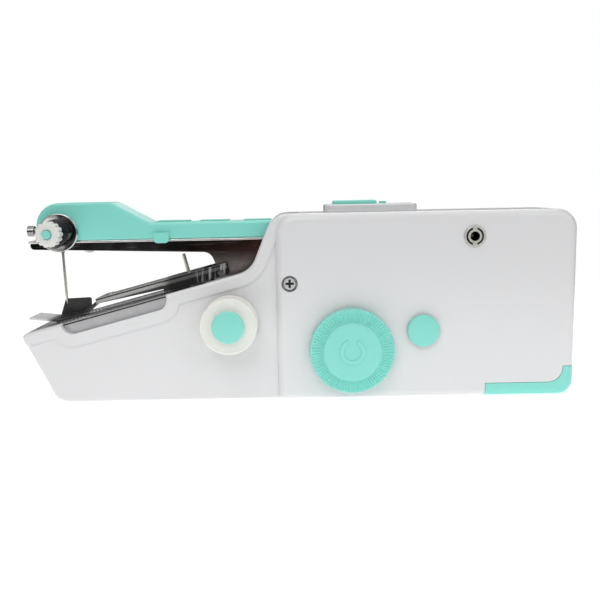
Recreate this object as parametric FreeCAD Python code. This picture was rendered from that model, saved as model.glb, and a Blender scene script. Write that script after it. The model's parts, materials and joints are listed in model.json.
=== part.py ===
"""Handheld battery sewing machine, built as the separate pieces it comes apart into.

Millimetres. X runs along the machine (needle end at -X, grip at +X), -Y is the front with the hand
wheel, Z is up. The origin of the saved pieces lies on the bottom face, at mid-thickness; the heights
below are taken from a level BASE_DROP above it.
"""
import FreeCAD, Part
import math
import os

from FreeCAD import Vector as V

# Casing
WALL = 2.0
BASE_DROP = 0.9
GRIP_LEFT = -9.0
GRIP_RIGHT_TOP = 104.7
GRIP_RIGHT_FOOT = 104.3
GRIP_HEIGHT = 70.0
GRIP_HALF = 17.5
GRIP_TOP_RADIUS = 7.5
GRIP_FOOT_RADIUS = 5.5
GRIP_EDGE = 3.0
BASE_HALF = 15.0
RIM_HALF = 15.7
RIM_WIDTH = 4.7
BASE_EDGE = 1.2
DECK_ANGLE = 14.5
DECK_X = -27.5
DECK_Z = 46.35
TIP_X = -107.2
TIP_RADIUS = 2.0
LEAST_RADIUS = 0.4
NOSE_ANGLE = 63.7
NOSE_RADIUS = 6.8
NECK_ANGLE = 67.6
NECK_X = -18.6
NECK_FOOT_RADIUS = 10.0
NECK_TOP_RADIUS = 8.0
WINDOW_LEFT = -91.4
WINDOW_RIGHT = -51.0
WINDOW_DEPTH = 5.1
WINDOW_RADIUS = 4.2
ARM_SLOT_HALF = 9.6
FAR = 300.0
CUT_OVER = 4.0
FOOT_EDGE = 0.8
SWITCH_WELL_FLOOR = 60.0
PLATE_ROOM = 0.2
PLATE_SEAT = 3.0
DECK_WELL_DEPTH = 6.0

# Deck plate and what stands on it
PLATE_HALF = 12.8
PLATE_THICK = 1.0
PLATE_LEFT = -104.5
PLATE_RIGHT = -36.2
PLATE_DROP = 0.5
FLANGE_DEPTH = 7.0
FLANGE_LEFT = -99.2
NEEDLE_X = -93.2
PLATE_SLOTS = [(-77.6, -73.4), (-69.6, -62.2)]
PLATE_SLOT_NEAR = -8.0
PLATE_SLOT_FAR = -5.4
NEEDLE_SLOT_HALF = 1.7
NEEDLE_SLOT_LEFT = 2.2
NEEDLE_SLOT_RIGHT = 5.0
FEED_SLOT_SIDE = 0.3
FEED_SLOT_END = 2.6
TONGUE_OUTER = 9.2
TONGUE_END = -27.6
EAR_INNER = 6.4
EAR_OUTER = 7.2
EAR_HEIGHT = 4.0
EAR_LENGTH = 5.5
FEED_LEFT = -94.2
FEED_RIGHT = -81.4
FEED_MIDDLE = 7.8
FEED_WIDTH = 2.4
FEED_TEETH = 9
FEED_TIP = 0.0
TOOTH_SUNK = 0.2
TOOTH_CREST = 0.75
TOOTH_END = 0.8
FEED_LOW = 3.2
FEED_STRAP_HALF = 11.2
FEED_STRAP_SHEET = 0.8
FEED_STRAP_LENGTH = 6.0
FEED_STRAP_GAP = 0.2
FEED_BRIDGE = 4.0
ROD_RADIUS = 0.7
ROD_DECK_X = -42.7
ROD_LENGTH_ABOVE = 12.6
ROD_LENGTH_BELOW = 8.5
ROD_COLLAR = 1.6
ROD_COLLAR_LENGTH = 2.0
LEVER_GAP = 1.3
LEVER_HALF = 2.0
LEVER_SHEET = 1.2
LEVER_FRONT = -2.5
LOOPER_LEFT = -88.8
LOOPER_RIGHT = -39.6
LOOPER_Y = 10.0
LOOPER_DEPTH = 12.4
LOOPER_SHAFT = 1.2
HOOK_SHEET = 1.0
HOOK_STEM = 6.0
HOOK_RISE = 6.6
HOOK_INSET = 0.6
HOOK_COLLAR = 2.2
HOOK_COLLAR_END = 5.0
HOOK_ROOT = 1.6
HOOK_ROOT_LOW = 1.4
HOOK_ROOT_RISE = 0.6
HOOK_POINT = 0.8
LOOPER_BRACKETS = [-73.0, -54.0]
LOOPER_COLLAR = 2.4
BRACKET_LENGTH = 3.0
BRACKET_BACK = 11.7
PRESSER_X = -30.4
PRESSER_Z = 47.5
PRESSER_PIN = 1.1
PIN_PROUD = 0.4
PRESSER_SHEET = 0.8
PRESSER_RIVET = 1.1
PRESSER_RIVET_HEAD = 1.8
RIVET_HEAD_RISE = 0.5
BAR_SIDE = 1.0
BAR_CLEARANCE = 0.6
BAR_STEP_CLEARANCE = 1.6
BAR_FRONT_SIDE = 2.0
BAR_SLOT_DEPTH = 2.0
ARM_ROOM = 0.7
ROD_SLOT_HALF = 1.6
ROD_SLOT_LENGTH = 8.0
BAR_LEFT = -78.8
BAR_STEP = -51.4
BAR_END = -27.0
BAR_ARM_SLOT = -36.5
BAR_HEIGHT = 5.1
BAR_FRONT_HALF = 6.5
BAR_HALF = 8.6
RIVET_BAR_X = -74.4
SHANK_HALF = 4.0
SHANK_OVERLAP = 8.0
SOLE_LEFT = -95.4
SOLE_RIGHT = -85.6
SOLE_HALF = 7.0
SOLE_GAP = 0.25
SOLE_HEEL = 1.2
TOE_X = -106.2
TOE_Z = 30.4
WING_TOP = 37.2
WING_LEFT = -97.6
WING_LEAN = 2.6
WING_ROUND = 0.8
WING_FALL = 0.4
TOE_OVERLAP = 0.6
TOE_RISE = 0.9
FOOT_SLOT_HALF = 1.6
FOOT_SLOT_LEFT = 2.4
FOOT_SLOT_RIGHT = 4.6

# Arm
PIVOT_X = 8.0
PIVOT_Z = 54.0
PIVOT_RADIUS = 2.0
PIN_PLAY = 0.2
PIN_FIT = 0.01
ARM_HALF = 6.0
ARM_SHEET = 1.0
LIP_HALF = 8.3
LIP_TOP = 61.0
LIP_THICK = 0.9
LIP_EDGE = 0.35
COVER_HALF = 8.5
COVER_WALL = 1.4
COVER_TOP = 75.5
COVER_BACK_TOP = 67.4
COVER_NOSE = -100.8
COVER_NOSE_RADIUS = 9.0
COVER_END = -6.0
COVER_SLOPE = 28.7
COVER_SLOPE_X = -71.9
COVER_EDGE = 1.0
COVER_CREST_RADIUS = 3.0
COVER_FOOT_RADIUS = 2.0
COVER_PADS = [(-54.9, -42.8), (-38.3, -27.4), (-21.3, -10.8)]
PAD_HALF = 4.5
PAD_RISE = 0.5
COVER_HOOK_LEFT = -55.5
COVER_HOOK_RIGHT = -49.8
COVER_HOOK_LOW = 59.6
COVER_HOOK_TOP = 63.6
COVER_HOOK_PROUD = 1.7
COVER_HOOK_ROUND = 1.4
COVER_HOOK_EDGE = 0.6
ARM_TIP = -104.2
ARM_END = 14.0
RIVET_X = -82.9
RIVET_RADIUS = 1.2
RIVET_HEAD = 2.1
RIVET_DOME = 1.6
RIVET_LOW = 55.8
ARM_LOW = 57.7
TIP_ROUND = 1.5
THROAT_RADIUS = 4.2
ARM_ROUND = 3.0
THROAT_TOP = (-34.4, 55.5)
THROAT_BACK = (-30.6, 45.5)
ARM_ROOT_X = -12.0
ARM_ROOT_LOW = 49.2
NEEDLE_WAY_HALF = 1.5
NEEDLE_WAY_LENGTH = 5.0
CLAMP_LEFT = -98.6
CLAMP_RIGHT = -87.0
CLAMP_TOP = 68.4
CLAMP_HALF = 4.6
CLAMP_SCREW = 1.2
CLAMP_HEAD = 2.1
CLAMP_HEAD_OUT = 8.0
CLAMP_HEAD_THICK = 2.6
CLAMP_SCREW_Z = 64.6
NEEDLE_TOP_X = -93.9
NEEDLE_TOP_Z = 67.5
NEEDLE_NECK = (-93.5, 56.0)
NEEDLE_TIP = (-92.9, 35.6)
NEEDLE_SHANK = 0.8
NEEDLE_BLADE = 0.5
NEEDLE_POINT = 2.6
NEEDLE_END = 0.08
NEEDLE_EYE = 0.22
FORK_FRONT = -4.0
FORK_SHEET = 2.0
FORK_TINE = 3.0
FORK_HUB = 4.0
FORK_ROOT_HALF = 3.5
FORK_WAIST_HALF = 4.5
FORK_SHOULDER = 6.0
FORK_REACH = 2.0
FORK_BEND = 4.0
FORK_SHOULDER_ROUND = 3.0
FORK_TIP_ROUND = 0.8
TENSION_X = -92.0
TENSION_Z = 64.2
STUD_RADIUS = 1.5
STUD_PROUD = 0.8
DISC_RADIUS = 7.3
DISC_SHEET = 0.7
DISC_EDGE = 0.3
DISC_BACKS = [0.9, 2.0]
SPRING_TURNS = 4
SPRING_BACK = -11.2
SPRING_WIDE = 4.6
SPRING_NARROW = 3.4
SPRING_GAP = 0.8
SPRING_WIRE = 0.9
KNOB_FRONT = -24.0
KNOB_BACK = -19.4
KNOB_RADIUS = 4.8
KNOB_LOBES = 14
LOBE_DEPTH = 0.5

# Drive
WHEEL_X = 19.3
WHEEL_Z = 18.4
WHEEL_RADIUS = 16.0
WHEEL_FRONT = -24.0
WHEEL_HUB = 11.0
HUB_THICK = 3.0
HUB_EDGE = 0.8
WHEEL_FACE = 2.0
RIDGE_DEPTH = 0.5
CAP_FACE = 1.1
CAP_EDGE = 0.7
END_GAP = 0.1
WHEEL_RING_DROP = 1.4
SHAFT_RADIUS = 2.5
WHEEL_SHAFT_END = 13.5
WINDER_SHAFT_END = 10.5
MOTOR_SHAFT = 1.0
MOTOR_SHAFT_FRONT = -10.5
WHEEL_BEARING = 5.0
WINDER_BEARING = 2.0
GEAR_FRONT = -13.2
GEAR_BACK = -10.2
FINE_FRONT = -9.4
FINE_BACK = -6.6
PINION_FRONT = -10.0
PINION_BACK = -6.2
ECCENTRIC_FRONT = -5.6
ECCENTRIC_BACK = -0.6
ECCENTRIC_THROW = 3.89
ECCENTRIC_RADIUS = 7.0
FORK_PLAY = 1.0
MIDSTROKE_TURN = 18.0
MIDSTROKE_ROCK = 1.195
GEAR_MODULE = 0.8
MAIN_TEETH = 36
WINDER_TEETH = 34
WINDER_DIRECTION = 14.1
FINE_MODULE = 0.6
REDUCTION_TEETH = 60
PINION_TEETH = 10
MOTOR_DIRECTION = 75.0
MOTOR_RADIUS = 10.0
MOTOR_FLATS = 15.4
PRESSURE_ANGLE = 25.0
BACKLASH = 0.14
GEAR_ADDENDUM = 0.8
GEAR_DEDENDUM = 1.05
FLANK_STEPS = 5
WHEEL_BACK = -18.2
WHEEL_RIDGES = 80
MARK_RADIUS = 4.6
MARK_WIDTH = 1.4
MARK_RISE = 0.35
MARK_GAP = 1.6
WINDER_FRONT = -20.0
WINDER_CAP_RADIUS = 6.1
MOTOR_FRONT = -4.8
MOTOR_BACK = 15.0
MOTOR_WALL = 1.0
MOTOR_NOSE = 3.0
MOTOR_CAP = 3.0
MOTOR_RING_FRONT = 6.0
FIT = 0.05
GAP = 0.3

# Bobbin, switch, socket and cells
BOBBIN_X = -26.6
BOBBIN_Z = 29.2
BOBBIN_RADIUS = 10.6
BOBBIN_BACK = -16.3
BOBBIN_FRONT = -26.0
BOBBIN_CORE = 4.0
FLANGE_THICK = 1.2
FLANGE_EDGE = 0.4
SPINDLE_FOOT = 2.0
SPINDLE_FOOT_RADIUS = 4.0
SPOOL_CAP_FRONT = -28.5
SPOOL_CAP_RADIUS = 6.0
SWITCH_LEFT = 10.0
SWITCH_RIGHT = 45.8
SWITCH_TOP = 73.0
BUTTON_LEFT = 13.6
BUTTON_RIGHT = 30.4
BUTTON_TOP = 74.5
BUTTON_HALF = 4.5
BUTTON_TRAVEL = 1.5
NECK_LOW = 67.0
LOCK_LEFT = 32.0
LOCK_RIGHT = 34.4
LOCK_HALF = 1.8
LOCK_TOP = 73.9
LOCK_TRAVEL = 3.0
SWITCH_SHELF_LEFT = 15.5
SWITCH_SHELF_RIGHT = 35.0
SWITCH_BODY = (16.5, 29.5)
SWITCH_BODY_HALF = 4.0
SWITCH_BODY_DEPTH = 6.5
SWITCH_LEGS = [18.0, 22.5, 27.0]
SWITCH_LEG_DEPTH = 10.0
SWITCH_MARGIN = 1.6
SWITCH_PLAY = 0.2
SWITCH_CORNER = 2.5
SWITCH_EDGE = 0.8
SWITCH_INSET = 1.0
KEEPER_TOP = 0.4
KEEPER_LOW = 1.6
KEEPER_LIP = 0.7
RUNNER_LENGTH = 3.0
RUNNER_LIP = 1.5
BOARD_THICK = 2.0
SOCKET_X = 65.8
SOCKET_Z = 60.4
SOCKET_FLANGE = 4.1
SOCKET_HOLE = 1.8
SOCKET_BACK = -5.0
SOCKET_PROUD = 0.5
SOCKET_EDGE = 0.2
SOCKET_GROOVE = (3.3, 2.6)
SOCKET_PIN = 0.55
SOCKET_NUT = 6.0
SOCKET_PIN_DEPTH = 5.0
SOCKET_FLOOR = 1.5
GROOVE_DEPTH = 0.6
KEYWAY_HALF = 0.8
NUT_SIDES = 6
NUT_WAVE = 0.6
NUT_THICK = 2.0
CELL_RADIUS = 7.2
CELL_LENGTH = 49.5
CELL_FOOT = 6.4
CELL_FIRST_X = 79.2
CELL_PITCH = 14.8
CELL_NUB = 2.7
CELL_NUB_RISE = 1.2
CELL_PLAY = 0.3
CONTACT_HALF = 4.0
CONTACT_SHEET = 0.5
CONTACT_TAB = 2.2
LID_LEFT = 70.2
LID_TOP = 4.2
LID_TOE_TOP = 10.4
LID_TOE_LEFT = 99.8
LID_TOE_RADIUS = 5.5
LID_PLAY = 0.15
BAY_TOP = 54.0

# Posts, bushes and screws inside the casing
ARM_SLOT_LEFT = -35.6
ARM_SLOT_RIGHT = 0.0
BUSH_RADIUS = 4.5
BUSH_LENGTH = 5.0
BUSH_SET_BACK = 0.2
SOCKET_RADIUS = 3.9
SPINDLE_RADIUS = 1.6
SWITCH_NECK_HALF = 6.0
SCREW_POST = 4.4
SCREW_CLEAR = 1.25
SCREW_PLACES = [
    (-3.8, 43.7), (-88.0, 9.0), (-45.0, 8.0), (-2.0, 8.0), (63.0, 7.0), (54.0, 63.0), (97.5, 63.3),
]
PIVOT_POST = 4.5
PIVOT_POST_REACH = 7.0
POST_ROOT = 0.5
BEARING_WALL = 1.5
BAY_WALL = 1.4
BAY_INSET = 0.6
ARM_SLOT_FLOOR = 47.0
NECK_SLOT_FLOOR = 36.0
SPLIT_Y = 1.0
SCREW_REACH = 10.5
SCREW_TIP = 9.0
BAY_SHELF_LEFT = 73.0
CONTACT_RISE = 2.1
SCREW_HEAD = 2.4
SCREW_HEAD_THICK = 1.8
SCREW_EDGE = 0.5
SCREW_CROSS = 3.2
SCREW_CROSS_WIDTH = 0.9
SCREW_CROSS_DEPTH = 0.8
SCREW_SHANK = 1.15
SCREW_SEAT = 3.1
FRONT_SCREW_DEPTH = 0.9
REAR_SCREW_DEPTH = 3.0

# Values worked out from the driving dimensions
SLOPE = math.radians(DECK_ANGLE)
ALONG = V(math.cos(SLOPE), 0, math.sin(SLOPE))
NORMAL = V(-math.sin(SLOPE), 0, math.cos(SLOPE))
WINDER_GAP = GEAR_MODULE * (MAIN_TEETH + WINDER_TEETH) / 2
WINDER_X = WHEEL_X + WINDER_GAP * math.cos(math.radians(WINDER_DIRECTION))
WINDER_Z = WHEEL_Z + WINDER_GAP * math.sin(math.radians(WINDER_DIRECTION))
MOTOR_GAP = FINE_MODULE * (REDUCTION_TEETH + PINION_TEETH) / 2
MOTOR_X = WINDER_X + MOTOR_GAP * math.cos(math.radians(MOTOR_DIRECTION))
MOTOR_Z = WINDER_Z + MOTOR_GAP * math.sin(math.radians(MOTOR_DIRECTION))
REAR_BEARINGS = [(WHEEL_X, WHEEL_Z, WHEEL_BEARING), (WINDER_X, WINDER_Z, WINDER_BEARING)]


def deck_z(x):
    """Height of the deck line above a place along the machine."""
    return DECK_Z + (x - DECK_X) * math.tan(SLOPE)


def deck_point(x, depth=0.0, y=0.0):
    """A point at a depth below the deck, measured square to it."""
    return V(x, y, deck_z(x)) - NORMAL * depth


def box(x0, x1, y0, y1, z0, z1):
    return Part.makeBox(x1 - x0, y1 - y0, z1 - z0, V(x0, y0, z0))


def rod(radius, start, end):
    """A round bar between two points."""
    axis = end - start
    return Part.makeCylinder(radius, axis.Length, start, axis)


def rod_y(radius, x, z, y0, y1):
    return Part.makeCylinder(radius, y1 - y0, V(x, y0, z), V(0, 1, 0))


def tube_y(outer, inner, x, z, y0, y1):
    return rod_y(outer, x, z, y0, y1).cut(rod_y(inner, x, z, y0 - 1, y1 + 1))


def rounded_wire(corners):
    """A closed wire through (point, radius) corners, each with a tangent arc of its radius."""
    edges = []
    count = len(corners)
    ends = []
    for index, (point, radius) in enumerate(corners):
        before = (corners[index - 1][0] - point).normalize()
        after = (corners[(index + 1) % count][0] - point).normalize()
        half = before.getAngle(after) / 2
        if radius == 0:
            ends.append((point, None, point))
            continue
        reach = radius / math.tan(half)
        centre = point + (before + after).normalize() * (radius / math.sin(half))
        middle = centre + (point - centre).normalize() * radius
        ends.append((point + before * reach, middle, point + after * reach))
    for index, (first, middle, last) in enumerate(ends):
        if middle is not None:
            edges.append(Part.Arc(first, middle, last).toShape())
        following = ends[(index + 1) % count][0]
        if last.distanceToPoint(following) > 1e-6:
            edges.append(Part.LineSegment(last, following).toShape())
    return Part.Wire(edges)


def prism_y(corners, y0, y1):
    """The solid between two Y planes over an outline given as ((x, z), radius) corners."""
    points = [(V(x, y0, z), radius) for (x, z), radius in corners]
    face = Part.Face(rounded_wire(points))
    return face.extrude(V(0, y1 - y0, 0))


def deck_outline(places):
    """Sharp corners of an outline given as places along the deck and depths below it."""
    points = [deck_point(x, depth) for x, depth in places]
    return [((point.x, point.z), 0) for point in points]


def deck_bar(x0, x1, y0, y1, depth0, depth1):
    """A straight block along the deck between two depths below it; a negative depth is above it."""
    return prism_y(deck_outline([(x0, depth0), (x1, depth0), (x1, depth1), (x0, depth1)]), y0, y1)


def deck_pin(radius, x, depth0, depth1):
    """A round bar square to the deck, at mid-thickness."""
    return rod(radius, deck_point(x, depth0), deck_point(x, depth1))


def edges_at_y(shape, y):
    return [edge for edge in shape.Edges if all(abs(vertex.Y - y) < 1e-4 for vertex in edge.Vertexes)]


def edges_at_z(shape, z):
    return [edge for edge in shape.Edges if all(abs(vertex.Z - z) < 1e-4 for vertex in edge.Vertexes)]


def soften(shape, radius, *planes):
    """Round the edges that lie in the given Y planes."""
    chosen = [edge for y in planes for edge in edges_at_y(shape, y)]
    return shape.makeFillet(radius, chosen)


def fuse(shapes):
    whole = shapes[0].multiFuse(shapes[1:])
    return whole.removeSplitter()


def save(node, shape):
    """Write one node, raised so that the bottom face lies at zero, after a look that its solids are sound."""
    solids = shape.Solids
    if not solids or not shape.isValid():
        raise ValueError(node + " is not a sound solid")
    group = solids[0] if len(solids) == 1 else Part.makeCompound(solids)
    group.translate(V(0, 0, BASE_DROP))
    group.exportStep("parts/" + node + ".step")
    print(node, len(solids), round(group.Volume, 1))


def base_outline(inset):
    """Base and neck, seen from the front, drawn in by an inset; the grip closes it on the right."""
    nose = math.radians(NOSE_ANGLE)
    neck = math.radians(NECK_ANGLE)
    low = inset - BASE_DROP
    tip_z = deck_z(TIP_X)
    tip_shift = inset / math.sin(nose)
    deck_shift = inset / math.cos(SLOPE)
    nose_slope = 1 / math.tan(nose)

    def nose_x(z):
        return TIP_X + (tip_z - z) * nose_slope + tip_shift

    def deck_line(x):
        return deck_z(x) - deck_shift

    neck_shift = inset / math.sin(neck)
    foot_z = deck_z(NECK_X)

    def neck_x(z):
        return NECK_X + (z - foot_z) / math.tan(neck) + neck_shift

    corner_x = nose_x(tip_z)
    for _ in range(20):
        corner_x = nose_x(deck_line(corner_x))
    foot_x = NECK_X
    for _ in range(60):
        foot_x = neck_x(deck_line(foot_x))
    top = GRIP_HEIGHT - inset
    right = GRIP_LEFT + GRIP_TOP_RADIUS + NECK_TOP_RADIUS
    return [
        ((nose_x(low), low), NOSE_RADIUS - inset),
        ((corner_x, deck_line(corner_x)), max(TIP_RADIUS - inset, LEAST_RADIUS)),
        ((foot_x, deck_line(foot_x)), NECK_FOOT_RADIUS + inset),
        ((neck_x(top), top), NECK_TOP_RADIUS - inset),
        ((right, top), 0),
        ((right, low), 0),
    ]


def grip_outline(inset):
    """The grip's rounded block, with its very slightly leaning right-hand end."""
    left = GRIP_LEFT + inset
    low = inset - BASE_DROP
    top = GRIP_HEIGHT - inset
    return [
        ((left, low), FOOT_EDGE),
        ((left, top), NECK_TOP_RADIUS - inset),
        ((GRIP_RIGHT_TOP - inset, top), GRIP_TOP_RADIUS - inset),
        ((GRIP_RIGHT_FOOT - inset, low), GRIP_FOOT_RADIUS - inset),
    ]


def window_outline(extra):
    """The notch in the front wall that shows the plate's flange, grown by an extra margin."""
    left = WINDOW_LEFT - extra
    right = WINDOW_RIGHT + extra
    depth = WINDOW_DEPTH + extra
    radius = WINDOW_RADIUS + extra
    corners = deck_outline([(left, -CUT_OVER), (left, depth), (right, depth), (right, -CUT_OVER)])
    return [(point, size) for (point, _), size in zip(corners, (0, radius, radius, 0))]


def rim_band():
    """The raised band along the deck edge, round the window and up the neck."""
    whole = soften(prism_y(base_outline(0), -RIM_HALF, RIM_HALF), BASE_EDGE, -RIM_HALF, RIM_HALF)
    inner = prism_y(base_outline(RIM_WIDTH), -GRIP_HALF, GRIP_HALF)
    surround = prism_y(window_outline(RIM_WIDTH), -GRIP_HALF, -BASE_HALF + 1)
    far_left = TIP_X - 20
    drop = RIM_WIDTH / math.cos(SLOPE)
    below = [
        ((far_left, -5), 0),
        ((far_left, deck_z(far_left) - drop), 0),
        ((WHEEL_X, deck_z(WHEEL_X) - drop), 0),
        ((WHEEL_X, -5), 0),
    ]
    strip = whole.cut(inner).cut(prism_y(below, -GRIP_HALF, GRIP_HALF))
    return fuse([strip, whole.common(surround)])


def casing_outer():
    base = soften(prism_y(base_outline(0), -BASE_HALF, BASE_HALF), BASE_EDGE, -BASE_HALF, BASE_HALF)
    grip = soften(prism_y(grip_outline(0), -GRIP_HALF, GRIP_HALF), GRIP_EDGE, -GRIP_HALF, GRIP_HALF)
    return fuse([base, rim_band(), grip])


def casing_hollow():
    base = prism_y(base_outline(WALL), WALL - BASE_HALF, BASE_HALF - WALL)
    grip = prism_y(grip_outline(WALL), WALL - GRIP_HALF, GRIP_HALF - WALL)
    return fuse([base, grip])


def lid_region(gap):
    """The corner of the grip that belongs to the battery lid, drawn in by a gap."""
    left = LID_LEFT + gap
    top = LID_TOP - gap
    toe = LID_TOE_LEFT + gap
    toe_top = LID_TOE_TOP - gap
    right = GRIP_RIGHT_TOP + 5
    outline = [
        ((left, -5), 0),
        ((left, top), 0),
        ((toe, top), LID_TOE_RADIUS),
        ((toe, toe_top), 0),
        ((right, toe_top), 0),
        ((right, -5), 0),
    ]
    return prism_y(outline, -GRIP_HALF - 1, GRIP_HALF + 1)


def casing_openings():
    """Everything cut out of both shells."""
    inside = BASE_HALF - WALL
    plate_under = PLATE_DROP + PLATE_THICK
    cuts = [
        deck_bar(PLATE_LEFT - PLATE_ROOM, ARM_SLOT_LEFT, -inside, inside, -CUT_OVER, plate_under),
        deck_bar(PLATE_LEFT + PLATE_SEAT, ARM_SLOT_LEFT, -inside, inside, -CUT_OVER, DECK_WELL_DEPTH),
        box(ARM_SLOT_LEFT - 1, GRIP_LEFT + 1, -ARM_SLOT_HALF, ARM_SLOT_HALF, NECK_SLOT_FLOOR, FAR),
        box(GRIP_LEFT, ARM_SLOT_RIGHT, -ARM_SLOT_HALF, ARM_SLOT_HALF, ARM_SLOT_FLOOR, FAR),
        prism_y(window_outline(0), -GRIP_HALF, POST_ROOT - inside),
        lid_region(0),
    ]
    neck_left = SWITCH_LEFT + SWITCH_INSET
    neck_right = SWITCH_RIGHT - SWITCH_INSET
    cuts.append(box(neck_left, neck_right, -SWITCH_NECK_HALF, SWITCH_NECK_HALF, SWITCH_WELL_FLOOR, FAR))
    round_holes = [
        (BUSH_RADIUS, WHEEL_X, WHEEL_Z),
        (BUSH_RADIUS, WINDER_X, WINDER_Z),
        (SOCKET_RADIUS, SOCKET_X, SOCKET_Z),
        (SPINDLE_RADIUS, BOBBIN_X, BOBBIN_Z),
    ]
    return cuts + [rod_y(radius, x, z, -FAR, 0) for radius, x, z in round_holes]


def casing_posts():
    """Posts that carry screws, shafts, pivot pin, motor and cells, and the holes through them."""
    inside = GRIP_HALF - WALL
    root = inside + POST_ROOT
    posts = []
    holes = [rod_y(PIVOT_RADIUS, PIVOT_X, PIVOT_Z, -inside, inside)]
    for index, (x, z) in enumerate(SCREW_PLACES):
        reach = root if x > GRIP_LEFT else BASE_HALF - WALL + POST_ROOT
        posts.append(rod_y(SCREW_POST, x, z, -reach, reach))
        side = -1 if index == 0 else 1
        first, last = sorted((side * GRIP_HALF, -side * SCREW_REACH))
        holes.append(rod_y(SCREW_CLEAR, x, z, first, last))
    for side in (-1, 1):
        near, far = sorted((side * PIVOT_POST_REACH, side * root))
        posts.append(rod_y(PIVOT_POST, PIVOT_X, PIVOT_Z, near, far))
    for x, z, reach in REAR_BEARINGS:
        posts.append(rod_y(BUSH_RADIUS + BEARING_WALL, x, z, reach, root))
        holes.append(rod_y(BUSH_RADIUS, x, z, reach - 1, reach + BUSH_LENGTH))
        holes.append(rod_y(SHAFT_RADIUS + GAP, x, z, reach - 1, inside - 1))
    ring = MOTOR_RADIUS + BEARING_WALL
    posts.append(tube_y(ring, MOTOR_RADIUS + FIT, MOTOR_X, MOTOR_Z, MOTOR_RING_FRONT, root))
    bay = LID_LEFT - BAY_INSET
    posts.append(box(bay - BAY_WALL, bay, -root, root, 1, BAY_TOP))
    shelf = CELL_FOOT + CELL_LENGTH + CONTACT_RISE
    posts.append(box(BAY_SHELF_LEFT, GRIP_RIGHT_FOOT - 1, -root, root, shelf, shelf + BAY_WALL))
    return posts, holes


def split_casing():
    """The two half shells, with their posts."""
    posts, holes = casing_posts()
    whole = fuse([casing_outer().cut(casing_hollow())] + posts)
    for cut in casing_openings() + holes:
        whole = whole.cut(cut)
    front = whole.common(box(-FAR, FAR, -FAR, SPLIT_Y, -FAR, FAR))
    rear = whole.common(box(-FAR, FAR, SPLIT_Y, FAR, -FAR, FAR))
    return front, rear


def gear(module, teeth, x, z, y0, y1, tooth_direction, bore):
    """A spur gear with involute flanks, one tooth centred on the given direction in degrees."""
    pitch = module * teeth / 2
    pressure = math.radians(PRESSURE_ANGLE)
    base = pitch * math.cos(pressure)
    tip = pitch + GEAR_ADDENDUM * module
    root = pitch - GEAR_DEDENDUM * module
    start = max(base, root)
    half = math.pi / (2 * teeth) - BACKLASH / (2 * pitch) + math.tan(pressure) - pressure
    flank = []
    for step in range(FLANK_STEPS + 1):
        radius = start + (tip - start) * step / FLANK_STEPS
        roll = math.acos(base / radius)
        flank.append((radius, half - math.tan(roll) + roll))
    if root < base:
        flank.insert(0, (root, half))
    points = []
    for tooth in range(teeth):
        middle = math.radians(tooth_direction) + 2 * math.pi * tooth / teeth
        outline = [(radius, middle - angle) for radius, angle in flank]
        outline += [(radius, middle + angle) for radius, angle in reversed(flank)]
        points += [V(x + r * math.cos(a), y0, z + r * math.sin(a)) for r, a in outline]
    face = Part.Face(Part.makePolygon(points + points[:1]))
    return face.extrude(V(0, y1 - y0, 0)).cut(rod_y(bore, x, z, y0 - 1, y1 + 1))


def lobed_disc(radius, depth, lobes, x, z, y0, y1):
    """A disc whose edge waves in and out a number of times, on one smooth closed curve."""
    count = lobes * 8
    points = []
    for index in range(count):
        angle = 2 * math.pi * index / count
        reach = radius - depth * (1 - math.cos(lobes * angle)) / 2
        points.append(V(x + reach * math.cos(angle), y0, z + reach * math.sin(angle)))
    curve = Part.BSplineCurve()
    curve.interpolate(points, PeriodicFlag=True)
    return Part.Face(Part.Wire(curve.toShape())).extrude(V(0, y1 - y0, 0))


def hand_wheel():
    """Flat hub with an open ring mark, on a rim with a finely ridged edge."""
    hub = rod_y(WHEEL_HUB, WHEEL_X, WHEEL_Z, WHEEL_FRONT, WHEEL_FRONT + HUB_THICK)
    hub = soften(hub, HUB_EDGE, WHEEL_FRONT)
    rim_front = WHEEL_FRONT + WHEEL_RING_DROP
    rim = lobed_disc(WHEEL_RADIUS, RIDGE_DEPTH, WHEEL_RIDGES, WHEEL_X, WHEEL_Z, rim_front, WHEEL_BACK)
    proud = WHEEL_FRONT - MARK_RISE
    mark = tube_y(MARK_RADIUS, MARK_RADIUS - MARK_WIDTH, WHEEL_X, WHEEL_Z, proud, WHEEL_FRONT + 1)
    break_left = WHEEL_X - MARK_GAP
    break_right = WHEEL_X + MARK_GAP
    mark = mark.cut(box(break_left, break_right, proud - 1, 0, WHEEL_Z, WHEEL_Z + WHEEL_RADIUS))
    return fuse([hub, rim, mark]).cut(rod_y(SHAFT_RADIUS, WHEEL_X, WHEEL_Z, WHEEL_FRONT + WHEEL_FACE, 0))


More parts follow.
